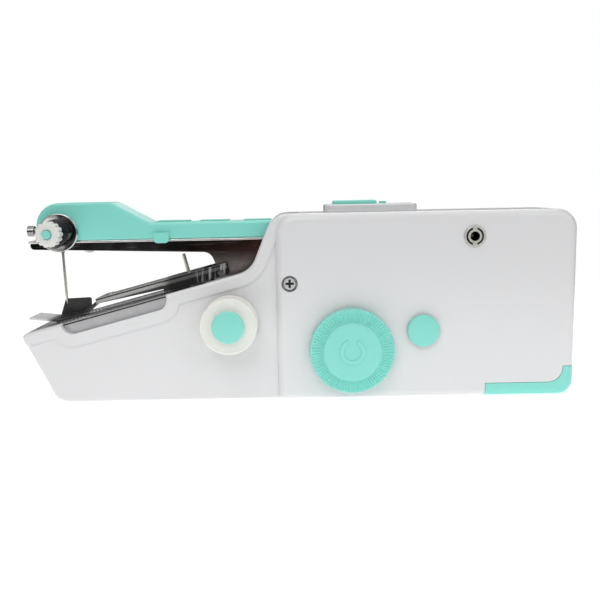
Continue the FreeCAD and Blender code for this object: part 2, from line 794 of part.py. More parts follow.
def drive_train():
    """Hand wheel, winder and motor lines with their gears, all turning about Y."""
    bore = SHAFT_RADIUS
    wheel = (WHEEL_X, WHEEL_Z)
    winder = (WINDER_X, WINDER_Z)
    spindle = (MOTOR_X, MOTOR_Z)
    save("hand_wheel", hand_wheel())
    save("wheel_shaft", rod_y(bore, *wheel, WHEEL_FRONT + WHEEL_FACE + END_GAP, WHEEL_SHAFT_END))
    save("main_gear", gear(GEAR_MODULE, MAIN_TEETH, *wheel, GEAR_FRONT, GEAR_BACK, WINDER_DIRECTION, bore))
    facing = WINDER_DIRECTION + 180 + 180 / WINDER_TEETH
    save("winder_gear", gear(GEAR_MODULE, WINDER_TEETH, *winder, GEAR_FRONT, GEAR_BACK, facing, bore))
    fine = gear(FINE_MODULE, REDUCTION_TEETH, *winder, FINE_FRONT, FINE_BACK, MOTOR_DIRECTION, bore)
    save("reduction_gear", fine)
    save("winder_spindle", rod_y(bore, *winder, WINDER_FRONT + CAP_FACE + END_GAP, WINDER_SHAFT_END))
    cap = soften(rod_y(WINDER_CAP_RADIUS, *winder, WINDER_FRONT, WHEEL_BACK), CAP_EDGE, WINDER_FRONT)
    save("winder_cap", cap.cut(rod_y(bore, *winder, WINDER_FRONT + CAP_FACE, 0)))
    facing = MOTOR_DIRECTION + 180 + 180 / PINION_TEETH
    pinion = gear(FINE_MODULE, PINION_TEETH, *spindle, PINION_FRONT, PINION_BACK, facing, MOTOR_SHAFT)
    save("motor_pinion", pinion)
    save("motor_shaft", rod_y(MOTOR_SHAFT, *spindle, MOTOR_SHAFT_FRONT, MOTOR_BACK))
    throw = eccentric_centre()
    disc = rod_y(ECCENTRIC_RADIUS, throw.x, throw.z, ECCENTRIC_FRONT, ECCENTRIC_BACK)
    save("eccentric", disc.cut(rod_y(bore, *wheel, ECCENTRIC_FRONT - 1, ECCENTRIC_BACK + 1)))


def fork_axes():
    """Unit vectors along and across the line from the arm pivot to the wheel axis."""
    along = V(WHEEL_X - PIVOT_X, 0, WHEEL_Z - PIVOT_Z).normalize()
    across = V(-along.z, 0, along.x)
    return along, across


def eccentric_centre():
    along, across = fork_axes()
    turn = math.radians(-MIDSTROKE_TURN)
    offset = along * math.cos(turn) + across * math.sin(turn)
    return V(WHEEL_X, 0, WHEEL_Z) + offset * ECCENTRIC_THROW


def motor():
    """The motor's flat-sided can with its open back, and the cap that plugs it."""
    half = MOTOR_FLATS / 2
    wide = 2 * MOTOR_RADIUS
    inner_radius = MOTOR_RADIUS - MOTOR_WALL
    can = rod_y(MOTOR_RADIUS, MOTOR_X, MOTOR_Z, MOTOR_FRONT, MOTOR_BACK)
    flats = box(MOTOR_X - wide, MOTOR_X + wide, MOTOR_FRONT, MOTOR_BACK, MOTOR_Z - half, MOTOR_Z + half)
    nose = rod_y(MOTOR_NOSE, MOTOR_X, MOTOR_Z, MOTOR_FRONT - 1, MOTOR_FRONT + 1)
    core = rod_y(inner_radius, MOTOR_X, MOTOR_Z, MOTOR_FRONT + MOTOR_WALL, MOTOR_BACK + 1)
    through = rod_y(MOTOR_SHAFT + FIT, MOTOR_X, MOTOR_Z, -FAR, FAR)
    save("motor_can", fuse([can.common(flats), nose]).cut(core.common(flats)).cut(through))
    plug = rod_y(inner_radius - END_GAP, MOTOR_X, MOTOR_Z, MOTOR_BACK - MOTOR_CAP, MOTOR_BACK)
    low = MOTOR_Z - half + END_GAP
    high = MOTOR_Z + half - END_GAP
    inner = box(MOTOR_X - wide, MOTOR_X + wide, -FAR, FAR, low, high)
    save("motor_end_cap", plug.common(inner).cut(through))


def bushes():
    rings = []
    for x, z, reach in REAR_BEARINGS:
        for y in (BUSH_SET_BACK - GRIP_HALF, reach):
            rings.append(tube_y(BUSH_RADIUS, SHAFT_RADIUS + FIT, x, z, y, y + BUSH_LENGTH - 1))
    save("shaft_bushes", Part.makeCompound(rings))


def cross_recess(centre, turn=0):
    """The crossed slots in a screw head that faces along Y, or along X after a quarter turn."""
    far = SCREW_CROSS / 2
    near = SCREW_CROSS_WIDTH / 2
    deep = SCREW_CROSS_DEPTH
    recess = fuse([box(-x, x, -deep, deep, -z, z) for x, z in ((far, near), (near, far))])
    recess.rotate(V(0, 0, 0), V(0, 0, 1), turn)
    recess.translate(centre)
    return recess


def screw(x, z, head_y, tip_y):
    """A cross-head screw along Y, its head at the first place and its tip at the second."""
    side = 1 if head_y > tip_y else -1
    under = head_y - side * SCREW_HEAD_THICK
    head = rod_y(SCREW_HEAD, x, z, min(head_y, under), max(head_y, under))
    head = soften(head, SCREW_EDGE, head_y)
    shank = rod_y(SCREW_SHANK, x, z, min(under, tip_y), max(under, tip_y))
    return fuse([head, shank]).cut(cross_recess(V(x, head_y, z)))


def fasteners():
    x, z = SCREW_PLACES[0]
    save("front_screw", screw(x, z, -GRIP_HALF + FRONT_SCREW_DEPTH, SCREW_TIP))
    rear = []
    for x, z in SCREW_PLACES[1:]:
        face = GRIP_HALF if x > GRIP_LEFT else BASE_HALF
        rear.append(screw(x, z, face - REAR_SCREW_DEPTH, -SCREW_TIP))
    save("rear_screws", Part.makeCompound(rear))
    reach = GRIP_HALF - WALL - PIN_PLAY
    save("arm_pivot_pin", rod_y(PIVOT_RADIUS - PIN_FIT, PIVOT_X, PIVOT_Z, -reach, reach))


def screw_seats(front, rear):
    """Sink the screw heads into the outside faces."""
    x, z = SCREW_PLACES[0]
    floor = FRONT_SCREW_DEPTH + SCREW_HEAD_THICK - GRIP_HALF
    front = front.cut(rod_y(SCREW_SEAT, x, z, -GRIP_HALF - 1, floor))
    for x, z in SCREW_PLACES[1:]:
        face = GRIP_HALF if x > GRIP_LEFT else BASE_HALF
        rear = rear.cut(rod_y(SCREW_SEAT, x, z, face - REAR_SCREW_DEPTH - SCREW_HEAD_THICK, face + 1))
    return front, rear


def arm_plate_outline():
    """Side wall of the arm: thin along the front, deep behind the throat, ending past the pivot."""
    return [
        ((ARM_TIP, LIP_TOP - LIP_THICK), 0),
        ((ARM_TIP, ARM_LOW), TIP_ROUND),
        (THROAT_TOP, THROAT_RADIUS),
        (THROAT_BACK, TIP_ROUND),
        ((ARM_ROOT_X, ARM_ROOT_LOW), ARM_ROUND),
        ((ARM_END, ARM_ROOT_LOW), ARM_ROUND),
        ((ARM_END, LIP_TOP - LIP_THICK), 0),
    ]


def cover_outline(inset):
    """Arm cover seen from the front: round nose, hump over the clamp, slope and low flat back."""
    slope = math.radians(COVER_SLOPE)
    top = COVER_TOP - inset
    back_top = COVER_BACK_TOP - inset
    slope_top = COVER_SLOPE_X - inset * math.tan(slope / 2)
    slope_foot = slope_top + (top - back_top) / math.tan(slope)
    foot = LIP_TOP if inset == 0 else LIP_TOP - 1
    return [
        ((COVER_NOSE + inset, foot), 0),
        ((COVER_NOSE + inset, top), COVER_NOSE_RADIUS - inset),
        ((slope_top, top), COVER_CREST_RADIUS - inset),
        ((slope_foot, back_top), COVER_FOOT_RADIUS + inset),
        ((COVER_END - inset, back_top), 0),
        ((COVER_END - inset, foot), 0),
    ]


def arm():
    """The rocking arm: folded channel, moulded cover, drive fork, clamp, needle and tension discs."""
    lip_low = LIP_TOP - LIP_THICK
    lip = box(ARM_TIP, COVER_END, -LIP_HALF, LIP_HALF, lip_low, LIP_TOP)
    lip = soften(lip, LIP_EDGE, -LIP_HALF, LIP_HALF)
    near_sides = (-ARM_HALF, ARM_HALF - ARM_SHEET)
    walls = [prism_y(arm_plate_outline(), side, side + ARM_SHEET) for side in near_sides]
    pivot_hole = rod_y(PIVOT_RADIUS + FIT, PIVOT_X, PIVOT_Z, -FAR, FAR)
    way_left = NEEDLE_X - NEEDLE_WAY_LENGTH / 2
    way_right = NEEDLE_X + NEEDLE_WAY_LENGTH / 2
    needle_way = box(way_left, way_right, -NEEDLE_WAY_HALF, NEEDLE_WAY_HALF, 0, LIP_TOP + 1)
    rivet_hole = rod(RIVET_RADIUS, V(RIVET_X, 0, 0), V(RIVET_X, 0, FAR))
    save("arm_channel", fuse([lip] + walls).cut(pivot_hole).cut(needle_way).cut(rivet_hole))
    save("arm_cover", arm_cover())
    save("arm_fork", arm_fork().cut(pivot_hole))
    head = rod(RIVET_HEAD, V(RIVET_X, 0, RIVET_LOW), V(RIVET_X, 0, lip_low - END_GAP))
    head = head.makeFillet(RIVET_DOME, edges_at_z(head, RIVET_LOW))
    stem = rod(RIVET_RADIUS, V(RIVET_X, 0, lip_low - 1), V(RIVET_X, 0, LIP_TOP + LIP_THICK))
    save("arm_rivet", fuse([head, stem]))
    clamp = box(CLAMP_LEFT, CLAMP_RIGHT, -CLAMP_HALF, CLAMP_HALF, LIP_TOP, CLAMP_TOP)
    screw_end = V(NEEDLE_TOP_X - NEEDLE_SHANK, 0, CLAMP_SCREW_Z)
    screw_way = rod(CLAMP_SCREW, V(-FAR, 0, CLAMP_SCREW_Z), screw_end)
    save("needle_clamp", clamp.cut(needle_shank(NEEDLE_SHANK + FIT)).cut(screw_way))
    save("needle", needle())
    save("needle_screw", clamp_screw())
    tension_set()


def arm_cover():
    """Hollow moulding with raised pads, a hook over the lip and the stud for the tension discs."""
    outer = soften(prism_y(cover_outline(0), -COVER_HALF, COVER_HALF), COVER_EDGE, -COVER_HALF, COVER_HALF)
    inner = prism_y(cover_outline(COVER_WALL), COVER_WALL - COVER_HALF, COVER_HALF - COVER_WALL)
    pads = []
    for left, right in COVER_PADS:
        pads.append(box(left, right, -PAD_HALF, PAD_HALF, COVER_BACK_TOP - 1, COVER_BACK_TOP + PAD_RISE))
    above_lip = box(-FAR, FAR, -FAR, FAR, LIP_TOP, FAR)
    whole = fuse([outer] + pads).cut(inner).common(above_lip)
    hook_outline = [
        ((COVER_HOOK_LEFT, COVER_HOOK_LOW), COVER_HOOK_ROUND),
        ((COVER_HOOK_LEFT, COVER_HOOK_TOP), COVER_HOOK_EDGE),
        ((COVER_HOOK_RIGHT, COVER_HOOK_TOP), COVER_HOOK_EDGE),
        ((COVER_HOOK_RIGHT, COVER_HOOK_LOW), COVER_HOOK_ROUND),
    ]
    hook = prism_y(hook_outline, -COVER_HALF - COVER_HOOK_PROUD, -COVER_HALF + 1)
    lip_room = box(-FAR, FAR, -LIP_HALF - GAP, 0, 0, LIP_TOP)
    stud = rod_y(STUD_RADIUS, TENSION_X, TENSION_Z, KNOB_FRONT - STUD_PROUD, -COVER_HALF + 1)
    whole = fuse([whole, hook.cut(lip_room).cut(inner), stud])
    screw_hole = rod(CLAMP_SCREW + GAP, V(-FAR, 0, CLAMP_SCREW_Z), V(CLAMP_LEFT, 0, CLAMP_SCREW_Z))
    return whole.cut(screw_hole)


def arm_fork():
    """The lever under the pivot whose two tines straddle the eccentric."""
    along, across = fork_axes()
    turn = math.radians(-MIDSTROKE_ROCK)
    line = along * math.cos(turn) + across * math.sin(turn)
    side = V(-line.z, 0, line.x)
    pivot = V(PIVOT_X, 0, PIVOT_Z)
    reach = math.hypot(WHEEL_X - PIVOT_X, WHEEL_Z - PIVOT_Z)
    end = reach + ECCENTRIC_THROW + FORK_REACH
    slot = ECCENTRIC_RADIUS + FORK_PLAY
    outer = slot + FORK_TINE
    crown = reach - ECCENTRIC_THROW - slot - FORK_TINE
    shoulder = crown + FORK_SHOULDER
    half_profile = [
        (0, FORK_ROOT_HALF, 0),
        (crown, FORK_WAIST_HALF, FORK_BEND),
        (shoulder, outer, FORK_SHOULDER_ROUND),
        (end, outer, FORK_TIP_ROUND),
        (end, slot, FORK_TIP_ROUND),
        (crown + FORK_TINE, slot, FORK_BEND),
    ]

    def corner(distance, offset, radius):
        point = pivot + line * distance + side * offset
        return ((point.x, point.z), radius)

    outline = [corner(distance, -offset, radius) for distance, offset, radius in half_profile]
    outline += [corner(distance, offset, radius) for distance, offset, radius in reversed(half_profile)]
    plate = prism_y(outline, FORK_FRONT, FORK_FRONT + FORK_SHEET)
    hub_half = ARM_HALF - ARM_SHEET
    return fuse([plate, rod_y(FORK_HUB, PIVOT_X, PIVOT_Z, -hub_half, hub_half)])


def needle_shank(radius):
    return rod(radius, V(NEEDLE_TOP_X, 0, NEEDLE_TOP_Z), V(NEEDLE_NECK[0], 0, NEEDLE_NECK[1]))


def needle():
    """Shank, thinner blade and point of the needle, with its eye."""
    neck = V(NEEDLE_NECK[0], 0, NEEDLE_NECK[1])
    tip = V(NEEDLE_TIP[0], 0, NEEDLE_TIP[1])
    upwards = (neck - tip).normalize()
    blade_end = tip + upwards * NEEDLE_POINT
    blade = rod(NEEDLE_BLADE, neck, blade_end)
    point = Part.makeCone(NEEDLE_BLADE, NEEDLE_END, NEEDLE_POINT, blade_end, tip - blade_end)
    eye_place = blade_end + upwards
    eye = rod_y(NEEDLE_EYE, eye_place.x, eye_place.z, -1, 1)
    return fuse([needle_shank(NEEDLE_SHANK), blade, point]).cut(eye)


def clamp_screw():
    """The screw that pinches the needle, its cross-slotted head standing clear of the cover."""
    left = CLAMP_LEFT - CLAMP_HEAD_OUT
    head_end = left + CLAMP_HEAD_THICK
    head = rod(CLAMP_HEAD, V(left, 0, CLAMP_SCREW_Z), V(head_end, 0, CLAMP_SCREW_Z))
    shank_end = NEEDLE_TOP_X - NEEDLE_SHANK - GAP
    shank = rod(CLAMP_SCREW - FIT, V(head_end - 1, 0, CLAMP_SCREW_Z), V(shank_end, 0, CLAMP_SCREW_Z))
    return fuse([head, shank]).cut(cross_recess(V(left, 0, CLAMP_SCREW_Z), 90))


def biarc(start, start_way, end, end_way):
    """Two tangent arcs from one point and direction to another."""
    span = end - start
    sums = start_way + end_way
    spread = 2 * (1 - start_way.dot(end_way))
    lead = (-span.dot(sums) + math.sqrt(span.dot(sums) ** 2 + spread * span.dot(span))) / spread
    first = start + start_way * lead
    second = end - end_way * lead
    joint = (first + second) * 0.5
    edges = []
    for begin, corner, finish in ((start, first, joint), (joint, second, end)):
        half_chord = (finish - begin).Length / 2
        middle = (begin + finish) * 0.5
        rise = half_chord * math.tan(math.acos(half_chord / lead) / 2)
        top = middle + (corner - middle).normalize() * rise
        edges.append(Part.Arc(begin, top, finish).toShape())
    return edges


def coil_spring(x, z, y0, y1, radius0, radius1, turns, wire):
    """A tapering spring along Y, wound from quarter turns, with straight ends one wire long."""
    count = int(turns * 4)

    def place(step):
        angle = 2 * math.pi * step / 4
        share = step / count
        radius = radius0 + (radius1 - radius0) * share
        return V(x + radius * math.cos(angle), y0 + (y1 - y0) * share, z + radius * math.sin(angle))

    def heading(step):
        return (place(step + 1e-4) - place(step - 1e-4)).normalize()

    edges = []
    for step in range(count):
        edges += biarc(place(step), heading(step), place(step + 1), heading(step + 1))
    lead_in = place(0) - heading(0) * wire
    lead_out = place(count) + heading(count) * wire
    edges.insert(0, Part.LineSegment(lead_in, place(0)).toShape())
    edges.append(Part.LineSegment(place(count), lead_out).toShape())
    path = Part.Wire(edges)
    section = Part.Wire(Part.makeCircle(wire / 2, lead_in, heading(0)))
    return path.makePipeShell([section], True, False)


def tension_set():
    """Two flat discs on the stud, the spring that presses them and the knob that sets it."""
    way = rod_y(STUD_RADIUS + FIT, TENSION_X, TENSION_Z, -FAR, 0)
    discs = []
    for back in DISC_BACKS:
        y = -COVER_HALF - back
        disc = soften(rod_y(DISC_RADIUS, TENSION_X, TENSION_Z, y, y + DISC_SHEET), DISC_EDGE, y)
        discs.append(disc.cut(way))
    save("tension_discs", Part.makeCompound(discs))
    ends = (SPRING_BACK, KNOB_BACK + SPRING_GAP)
    spring = coil_spring(TENSION_X, TENSION_Z, *ends, SPRING_WIDE, SPRING_NARROW, SPRING_TURNS, SPRING_WIRE)
    save("tension_spring", spring)
    knob = lobed_disc(KNOB_RADIUS, LOBE_DEPTH, KNOB_LOBES, TENSION_X, TENSION_Z, KNOB_FRONT, KNOB_BACK)
    save("tension_knob", knob.cut(way))


def needle_plate():
    """The folded deck plate: flanges down both sides, slots for needle and feed, ears at the back."""
    low = PLATE_DROP + PLATE_THICK
    pieces = [deck_bar(PLATE_LEFT, PLATE_RIGHT, -PLATE_HALF, PLATE_HALF, PLATE_DROP, low)]
    for side in (-1, 1):
        near, far = sorted((side * (PLATE_HALF - PLATE_THICK), side * PLATE_HALF))
        pieces.append(deck_bar(FLANGE_LEFT, PLATE_RIGHT, near, far, PLATE_DROP, PLATE_DROP + FLANGE_DEPTH))
        near, far = sorted((side * EAR_INNER, side * TONGUE_OUTER))
        pieces.append(deck_bar(PLATE_RIGHT - 1, TONGUE_END, near, far, PLATE_DROP, low))
        near, far = sorted((side * EAR_INNER, side * EAR_OUTER))
        pieces.append(deck_bar(TONGUE_END - EAR_LENGTH, TONGUE_END, near, far, -EAR_HEIGHT, low))
    plate = fuse(pieces)
    slots = [(NEEDLE_X - NEEDLE_SLOT_LEFT, NEEDLE_X + NEEDLE_SLOT_RIGHT, -NEEDLE_SLOT_HALF, NEEDLE_SLOT_HALF)]
    feed_half = FEED_WIDTH / 2 + FEED_SLOT_SIDE
    for y in (-FEED_MIDDLE, FEED_MIDDLE):
        slots.append((FEED_LEFT - FEED_SLOT_END, FEED_RIGHT + FEED_SLOT_END, y - feed_half, y + feed_half))
    for left, right in PLATE_SLOTS:
        slots.append((left, right, PLATE_SLOT_NEAR, PLATE_SLOT_FAR))
    for slot in slots:
        plate = plate.cut(deck_bar(*slot, -CUT_OVER, CUT_OVER))
    plate = plate.cut(deck_pin(ROD_RADIUS + FIT, ROD_DECK_X, -CUT_OVER, CUT_OVER))
    return plate.cut(rod_y(PRESSER_PIN, PRESSER_X, PRESSER_Z, -FAR, FAR))


def feed_parts():
    """Toothed feed bars joined under the plate, and the strap they slide on."""
    pieces = []
    pitch = (FEED_RIGHT - FEED_LEFT) / FEED_TEETH
    root = PLATE_DROP + TOOTH_SUNK
    for y in (-FEED_MIDDLE, FEED_MIDDLE):
        near = y - FEED_WIDTH / 2
        far = y + FEED_WIDTH / 2
        pieces.append(deck_bar(FEED_LEFT, FEED_RIGHT, near, far, PLATE_DROP, FEED_LOW))
        for tooth in range(FEED_TEETH):
            left = FEED_LEFT + pitch * tooth
            places = [(left, root), (left + pitch * TOOTH_CREST, FEED_TIP), (left + pitch * TOOTH_END, root)]
            pieces.append(prism_y(deck_outline(places), near, far))
    half = FEED_MIDDLE + FEED_WIDTH / 2
    pieces.append(deck_bar(FEED_RIGHT - FEED_BRIDGE, FEED_RIGHT, -half, half, FEED_LOW - 1, FEED_LOW))
    save("feed_dog", fuse(pieces))
    strap_right = FEED_RIGHT + 1
    strap_left = strap_right - FEED_STRAP_LENGTH
    strap_top = FEED_LOW + FEED_STRAP_GAP
    strap_low = strap_top + FEED_STRAP_SHEET
    strap = [deck_bar(strap_left, strap_right, -FEED_STRAP_HALF, FEED_STRAP_HALF, strap_top, strap_low)]
    for side in (-1, 1):
        near, far = sorted((side * (FEED_STRAP_HALF - FEED_STRAP_SHEET), side * FEED_STRAP_HALF))
        strap.append(deck_bar(strap_left, strap_right, near, far, PLATE_DROP + PLATE_THICK, strap_low))
    save("feed_strap", fuse(strap))


def looper_sleeve(radius, x0, x1):
    """A round bar on the looper's axis between two places along the deck."""
    return rod(radius, deck_point(x0, LOOPER_DEPTH, LOOPER_Y), deck_point(x1, LOOPER_DEPTH, LOOPER_Y))


def looper_hook():
    """The bent finger that crosses the needle's path, on its collar."""
    left = LOOPER_LEFT + HOOK_INSET
    stem_end = LOOPER_Y - HOOK_STEM
    profile = [
        (LOOPER_Y - HOOK_ROOT, HOOK_ROOT_RISE),
        (stem_end, HOOK_RISE),
        (stem_end - HOOK_POINT, HOOK_RISE - HOOK_ROOT_LOW),
        (LOOPER_Y - HOOK_ROOT, -HOOK_ROOT_LOW),
        (LOOPER_Y + HOOK_ROOT, -HOOK_ROOT_LOW),
        (LOOPER_Y + HOOK_ROOT, HOOK_ROOT),
    ]
    corner = deck_point(left, LOOPER_DEPTH)
    outline = [corner + V(0, y, 0) + NORMAL * rise for y, rise in profile]
    finger = Part.Face(Part.makePolygon(outline + outline[:1])).extrude(ALONG * HOOK_SHEET)
    return fuse([finger, looper_sleeve(HOOK_COLLAR, left, LOOPER_LEFT + HOOK_COLLAR_END)])


def looper_parts():
    """The looper shaft under the deck, its hook by the needle and its lever under the push rod."""
    shaft = looper_sleeve(LOOPER_SHAFT, LOOPER_LEFT, LOOPER_RIGHT)
    bore = looper_sleeve(LOOPER_SHAFT, LOOPER_LEFT - 1, LOOPER_RIGHT + 1)
    save("looper_shaft", shaft)
    save("looper_hook", looper_hook().cut(bore))
    top = ROD_LENGTH_BELOW + LEVER_GAP
    left = ROD_DECK_X - LEVER_HALF
    right = ROD_DECK_X + LEVER_HALF
    lever = deck_bar(left, right, LEVER_FRONT, LOOPER_Y, top, top + LEVER_SHEET)
    save("looper_lever", fuse([lever, looper_sleeve(LOOPER_COLLAR, left, right)]).cut(bore))
    room = looper_sleeve(LOOPER_SHAFT + FIT, LOOPER_LEFT, LOOPER_RIGHT)
    low = LOOPER_DEPTH + HOOK_COLLAR
    brackets = []
    for x in LOOPER_BRACKETS:
        front = LOOPER_Y - HOOK_COLLAR
        block = deck_bar(x, x + BRACKET_LENGTH, front, BRACKET_BACK, PLATE_DROP + PLATE_THICK, low)
        brackets.append(block.cut(room))
    save("looper_brackets", Part.makeCompound(brackets))


def push_rod():
    pin = deck_pin(ROD_RADIUS, ROD_DECK_X, ROD_LENGTH_BELOW, -ROD_LENGTH_ABOVE)
    collar = deck_pin(ROD_COLLAR, ROD_DECK_X, ROD_LENGTH_BELOW, ROD_LENGTH_BELOW - ROD_COLLAR_LENGTH)
    return fuse([pin, collar])


def presser_bar():
    """Folded bar, narrow in front of its step, slotted for the arm and the push rod."""
    top = -BAR_HEIGHT
    under = top + PRESSER_SHEET
    rear_left = BAR_STEP - 1
    pieces = [
        deck_bar(BAR_LEFT, BAR_STEP, -BAR_FRONT_HALF, BAR_FRONT_HALF, top, under),
        deck_bar(rear_left, BAR_END, -BAR_HALF, BAR_HALF, top, under),
    ]
    taper = [
        (BAR_LEFT, top),
        (BAR_STEP, top),
        (BAR_STEP, -BAR_STEP_CLEARANCE),
        (BAR_LEFT, top + BAR_FRONT_SIDE),
    ]
    for side in (-1, 1):
        near, far = sorted((side * (BAR_HALF - BAR_SIDE), side * BAR_HALF))
        pieces.append(deck_bar(rear_left, BAR_END, near, far, top, -BAR_CLEARANCE))
        near, far = sorted((side * (BAR_FRONT_HALF - BAR_SIDE), side * BAR_FRONT_HALF))
        pieces.append(prism_y(deck_outline(taper), near, far))
    room = ARM_HALF + ARM_ROOM
    rod_left = ROD_DECK_X - ROD_SLOT_LENGTH / 2
    rod_right = ROD_DECK_X + ROD_SLOT_LENGTH / 2
    bar = fuse(pieces)
    bar = bar.cut(deck_bar(BAR_ARM_SLOT, BAR_END + 1, -room, room, top - 1, -BAR_SLOT_DEPTH))
    bar = bar.cut(deck_bar(rod_left, rod_right, -ROD_SLOT_HALF, ROD_SLOT_HALF, top - 1, under + 1))
    return bar.cut(rod_y(PRESSER_PIN + FIT, PRESSER_X, PRESSER_Z, -FAR, FAR))


def presser():
    """The presser bar on its two pins, and the sprung foot riveted under its front end."""
    top = -BAR_HEIGHT
    rivet_hole = deck_pin(PRESSER_RIVET, RIVET_BAR_X, top - 2, top + 4)
    save("presser_bar", presser_bar().cut(rivet_hole))
    save("presser_foot", presser_foot().cut(rivet_hole))
    head = deck_pin(PRESSER_RIVET_HEAD, RIVET_BAR_X, top - RIVET_HEAD_RISE, top)
    stem = deck_pin(PRESSER_RIVET, RIVET_BAR_X, top - RIVET_HEAD_RISE / 2, top + 2 * PRESSER_SHEET)
    save("presser_rivet", fuse([head, stem]))
    pins = []
    for side in (-1, 1):
        near, far = sorted((side * (EAR_INNER + FIT), side * (BAR_HALF + PIN_PROUD)))
        pins.append(rod_y(PRESSER_PIN, PRESSER_X, PRESSER_Z, near, far))
    save("presser_pins", Part.makeCompound(pins))


def presser_foot():
    """One bent sheet: shank under the bar, sole along the deck, toe bent forward and a wing at the back."""
    sheet = PRESSER_SHEET
    top = -BAR_HEIGHT + sheet
    sole_top = -SOLE_GAP - sheet
    shank_end = BAR_LEFT + SHANK_OVERLAP
    shank_outline = [
        (shank_end, top),
        (BAR_LEFT, top),
        (SOLE_RIGHT, sole_top),
        (SOLE_RIGHT + 2 * sheet, -SOLE_GAP - sheet / 2),
        (BAR_LEFT + sheet, top + sheet),
        (shank_end, top + sheet),
    ]
    shank = prism_y(deck_outline(shank_outline), -SHANK_HALF, SHANK_HALF)
    sole = deck_bar(SOLE_LEFT, SOLE_RIGHT + SOLE_HEEL, -SOLE_HALF, SOLE_HALF, sole_top, -SOLE_GAP)
    bend = deck_point(SOLE_LEFT, -SOLE_GAP)
    toe_outline = [
        ((bend.x + 1, bend.z + math.tan(SLOPE)), 0),
        ((TOE_X, TOE_Z), 0),
        ((TOE_X, TOE_Z + sheet), 0),
        ((bend.x + TOE_OVERLAP, bend.z + TOE_RISE), 0),
    ]
    toe = prism_y(toe_outline, -SOLE_HALF, SOLE_HALF)
    wing_foot = deck_point(WING_LEFT, -SOLE_GAP - sheet)
    wing_back = deck_point(SOLE_RIGHT + sheet, -SOLE_GAP)
    wing_outline = [
        ((wing_foot.x, wing_foot.z), 0),
        ((wing_foot.x + WING_LEAN, WING_TOP - WING_FALL), WING_ROUND),
        ((wing_back.x, WING_TOP), WING_ROUND),
        ((wing_back.x, wing_back.z), 0),
    ]
    wing = prism_y(wing_outline, SOLE_HALF - sheet, SOLE_HALF)
    left = NEEDLE_X - FOOT_SLOT_LEFT
    right = NEEDLE_X + FOOT_SLOT_RIGHT
    needle_slot = deck_bar(left, right, -FOOT_SLOT_HALF, FOOT_SLOT_HALF, -CUT_OVER, CUT_OVER)
    return fuse([sole, toe, shank, wing]).cut(needle_slot)


def bobbin_set():
    """Spindle on the base, the bobbin that spins on it and the cap that keeps it there."""
    inside = WALL - BASE_HALF
    foot = rod_y(SPINDLE_FOOT_RADIUS, BOBBIN_X, BOBBIN_Z, inside, inside + SPINDLE_FOOT)
    post = rod_y(SPINDLE_RADIUS, BOBBIN_X, BOBBIN_Z, SPOOL_CAP_FRONT + CAP_FACE + END_GAP, inside + 1)
    save("bobbin_spindle", fuse([foot, post]))
    way = rod_y(SPINDLE_RADIUS + FIT, BOBBIN_X, BOBBIN_Z, SPOOL_CAP_FRONT + CAP_FACE, 0)
    core = rod_y(BOBBIN_CORE, BOBBIN_X, BOBBIN_Z, BOBBIN_FRONT, BOBBIN_BACK)
    flanges = []
    for y in (BOBBIN_FRONT, BOBBIN_BACK - FLANGE_THICK):
        flange = rod_y(BOBBIN_RADIUS, BOBBIN_X, BOBBIN_Z, y, y + FLANGE_THICK)
        flanges.append(soften(flange, FLANGE_EDGE, y, y + FLANGE_THICK))
    save("bobbin", fuse([core] + flanges).cut(way))
    cap = rod_y(SPOOL_CAP_RADIUS, BOBBIN_X, BOBBIN_Z, SPOOL_CAP_FRONT, BOBBIN_FRONT - GAP)
    save("bobbin_cap", soften(cap, CAP_EDGE, SPOOL_CAP_FRONT).cut(way))


def switch_platform():
    """Raised plate on the grip's top with a neck that fits the casing, and ways for button and lock."""
    half = SWITCH_NECK_HALF + SWITCH_MARGIN
    plate = box(SWITCH_LEFT, SWITCH_RIGHT, -half, half, GRIP_HEIGHT, SWITCH_TOP)
    uprights = [edge for edge in plate.Edges if abs(edge.tangentAt(edge.FirstParameter).z) > 0.9]
    plate = plate.makeFillet(SWITCH_CORNER, uprights)
    plate = plate.makeFillet(SWITCH_EDGE, edges_at_z(plate, SWITCH_TOP))
    neck_left = SWITCH_LEFT + SWITCH_INSET + END_GAP
    neck_right = SWITCH_RIGHT - SWITCH_INSET - END_GAP
    neck_half = SWITCH_NECK_HALF - END_GAP
    neck = box(neck_left, neck_right, -neck_half, neck_half, NECK_LOW, GRIP_HEIGHT + 1)
    well_half = BUTTON_HALF + SWITCH_PLAY
    well = box(BUTTON_LEFT - SWITCH_PLAY, BUTTON_RIGHT + SWITCH_PLAY, -well_half, well_half, 0, FAR)
    way_half = LOCK_HALF + SWITCH_PLAY
    lock_way = box(LOCK_LEFT - GAP, LOCK_RIGHT + LOCK_TRAVEL + GAP, -way_half, way_half, 0, FAR)
    return fuse([plate, neck]).cut(well).cut(lock_way)


